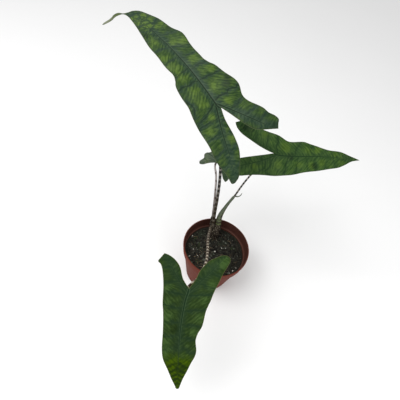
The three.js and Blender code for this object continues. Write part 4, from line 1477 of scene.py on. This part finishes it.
def pot_paint():
    """Terracotta plastic with flow marks, dust and scuffs, and painted shade inside: darker and browner
    there, paler along the ledge.
    """
    p = Paint("pot_plastic")
    place = p.millimetres()
    height = p.part(place, 2)
    cloud = p.noise(place, 0.03, 3.0)
    base = p.blend(cloud, colour(92, 42, 31), colour(106, 51, 37))
    flow = p.noise(place, (0.5, 0.5, 0.03), 3.0)
    base = p.blend(p.smooth(flow, 0.45, 0.75) * 0.25, base, colour(84, 37, 27))
    dust = p.smooth(p.noise(place, 0.12, 4.0, 0.7), 0.46, 0.7) * p.smooth(height, 70.0, 4.0)
    base = p.blend(dust * 0.08, base, colour(140, 108, 88))
    scuffs = p.smooth(p.noise(place, (0.225, 0.225, 0.99), 4.0, 0.75), 0.66, 0.74)
    base = p.blend(scuffs * 0.12, base, colour(158, 106, 86))
    # painted shade: the inside of the pot is darker and browner, and paler along the ledge
    streaks = p.noise(place, (0.4, 0.4, 0.05), 3.0)
    inner = p.blend(streaks, colour(62, 37, 32), colour(82, 50, 42))
    paler_ledge = p.smooth(abs(height - (LEDGE + 0.5)), 1.0, 0.3)
    inner = p.blend(paler_ledge * 0.4, inner, colour(134, 98, 84))
    inside = p.smooth(outside_of_wall(p, place), 0.25, -0.25) * p.smooth(height, 0.4, 1.2)
    base = p.blend(inside, base, inner)
    p.bump(p.noise(place, 1.2, 3.0), 0.06, 0.5)
    return p.finish(base, p.level(cloud, 0.5, 0.6) + dust * 0.25, 0.05)


def outside_of_wall(p, place):
    """How far outside the middle of the pot's wall a place is, in millimetres."""
    x, y, height = (p.part(place, axis) for axis in range(3))
    rise = height - LEDGE
    lower = rise * ((NECK - POT["base_radius"]) / LEDGE) + NECK
    collar = rise * (POT["collar_taper"] / (POT["collar_depth"] - POT["lip_height"])) + COLLAR_FOOT
    wall = lower + (collar - lower) * p.smooth(rise, 0.5, 0.9)
    return p.math("SQRT", x * x + y * y) - wall + POT["wall"] / 2


def pot_profile():
    """The wall's outline with a bevel at each corner, from under the floor, up the outside, over
    the lip and down the inside to the floor."""
    top, rim, wall, foot = (POT[name] for name in ("height", "rim_radius", "wall", "base_radius"))
    under_lip = top - POT["lip_height"]
    return rounded([
        (0.5, 0, 0),
        (foot, 0, 1.0),
        (NECK, LEDGE - 0.3, 0.5),
        (COLLAR_FOOT, LEDGE + 0.2, 0.7),
        (COLLAR_TOP, under_lip, 0.3),
        (rim, under_lip + 0.2, 0.4),
        (rim, top, 0.7),
        (rim - POT["lip_width"] - 0.35, top, 0.6),
        (COLLAR_TOP - wall, under_lip - 0.6, 0.4),
        (COLLAR_FOOT - wall, LEDGE + wall + 0.3, 0.5),
        (NECK - wall + 0.2, LEDGE + wall, 0.5),
        (foot - wall, POT["floor"], 0.8),
        (0.5, POT["floor"], 0),
    ])


def split_up(profile, longest):
    """A profile with points added where two of them are further apart than longest."""
    fuller = [profile[0]]
    for start, end in zip(profile, profile[1:]):
        parts = max(1, math.ceil(np.linalg.norm(end - start) / longest))
        fuller.extend(mix(start, end, k / parts) for k in range(1, parts + 1))
    return np.array(fuller)


def inside_ribs(profile, sides):
    """Faint upright ribs inside the collar, one every three degrees, by row and side."""
    _, heights = profile.T
    going_down = np.diff(heights, prepend=heights[0]) < 0
    low, high = LEDGE + 2.4, POT["height"] - POT["lip_height"] - 1.4
    ribbed = going_down & (low <= heights) & (heights <= high)
    return 0.16 * ribbed[:, None] * np.cos(120 * circle(sides))


def drill_of(circle_radius, radius, count):
    """An upright cutting body for each drain hole."""
    heap = Heap()
    for angle in circle(count):
        line = [towards(angle, circle_radius) + [0, 0, height] for height in (-3.1, 0.7, 4.3)]
        heap.add(*tube(line, radius, 48)[:2])
    return in_scene("drill", mesh_of("drill", heap.points, heap.faces))


def make_pot():
    """The thin wall turned about the axis, with the drain holes cut through its floor."""
    sides = 480
    profile = split_up(pot_profile(), 6.0)
    points, faces = lathe(profile, sides, inside_ribs(profile, sides))
    pot = make_piece("nursery_pot", points, faces, pot_paint(), "pot_plastic", stands_for=["pot"],
                     sharp=40)
    drill = drill_of(POT["drain_circle"], POT["drain_radius"], POT["drain_holes"])
    cut = pot.modifiers.new("drain holes", "BOOLEAN")
    cut.object = drill
    cut.operation = "DIFFERENCE"
    cut.solver = "EXACT"
    bpy.context.view_layer.update()
    drilled = pot.evaluated_get(bpy.context.evaluated_depsgraph_get())
    cut_mesh = bpy.data.meshes.new_from_object(drilled)
    pot.modifiers.clear()
    pot.data = cut_mesh
    pot.data.name = "nursery_pot"
    bpy.data.objects.remove(drill)


# Studio


def make_floor():
    """A wide pale floor just under the pot."""
    reach, drop = 6000, -0.05
    corners = [(x * reach, y * reach, drop) for x, y in ((-1, -1), (1, -1), (1, 1), (-1, 1))]
    mesh = mesh_of("floor", corners, [(0, 1, 2, 3)])
    p = Paint("floor")
    cloud = p.noise(p.millimetres(), 0.003)
    base = p.blend(cloud, colour(240, 240, 240), colour(243, 243, 243))
    mesh.materials.append(p.finish(base, 0.9, 0.1))
    floor = in_scene("floor", mesh)


def make_lights():
    """One large soft light from above, a weaker one from the front, and a pale sky."""
    world = bpy.data.worlds.new("studio")
    world.use_nodes = True
    sky = world.node_tree.nodes["Background"]
    sky.inputs["Color"].default_value = (1, 1, 1, 1)
    sky.inputs["Strength"].default_value = 0.72
    bpy.context.scene.world = world
    aim = Vector((-20, 20, 180)) * MM
    for name, place, size, power in (("key", (-700, -300, 1500), 900, 16.0),
                                     ("fill", (900, -900, 900), 900, 4.0)):
        light = bpy.data.lights.new(name, "AREA")
        light.size = size * MM
        light.energy = power
        lamp = in_scene(name, light)
        lamp.location = Vector(place) * MM
        lamp.rotation_euler = (aim - lamp.location).to_track_quat("-Z", "Y").to_euler()


def make_camera():
    """The camera that took in the plant: its tilt and roll are turned into three axes."""
    tilt, roll = math.radians(CAMERA["elevation"]), math.radians(CAMERA["roll"])
    forward = Vector((0, math.cos(tilt), -math.sin(tilt)))
    level = Vector((1, 0, 0))
    down = forward.cross(level)
    right = level * math.cos(roll) + down * math.sin(roll)
    lower = down * math.cos(roll) - level * math.sin(roll)
    data = bpy.data.cameras.new("camera")
    data.lens = CAMERA["lens"]
    data.sensor_width = CAMERA["sensor"]
    data.clip_start, data.clip_end = 0.01, 20
    camera = in_scene("camera", data)
    turn = Matrix((right, -lower, -forward)).transposed().to_4x4()
    camera.matrix_world = Matrix.Translation(Vector(CAMERA["place"]) * MM) @ turn
    bpy.context.scene.camera = camera


for leaf in LEAVES.values():
    leaf["course"] = midrib_course(leaf)
stalk_lines = {key: stalk_line(key) for key in STALKS}

make_camera()
make_floor()
make_lights()
make_pot()
make_soil()
make_crumbs()
make_perlite()
make_moss()
make_fibres()
make_crown()
make_sheath()
for key in STALKS:
    make_petiole(key)
for key in LEAVES:
    make_blade(key)

bpy.context.scene.view_settings.view_transform = "Standard"
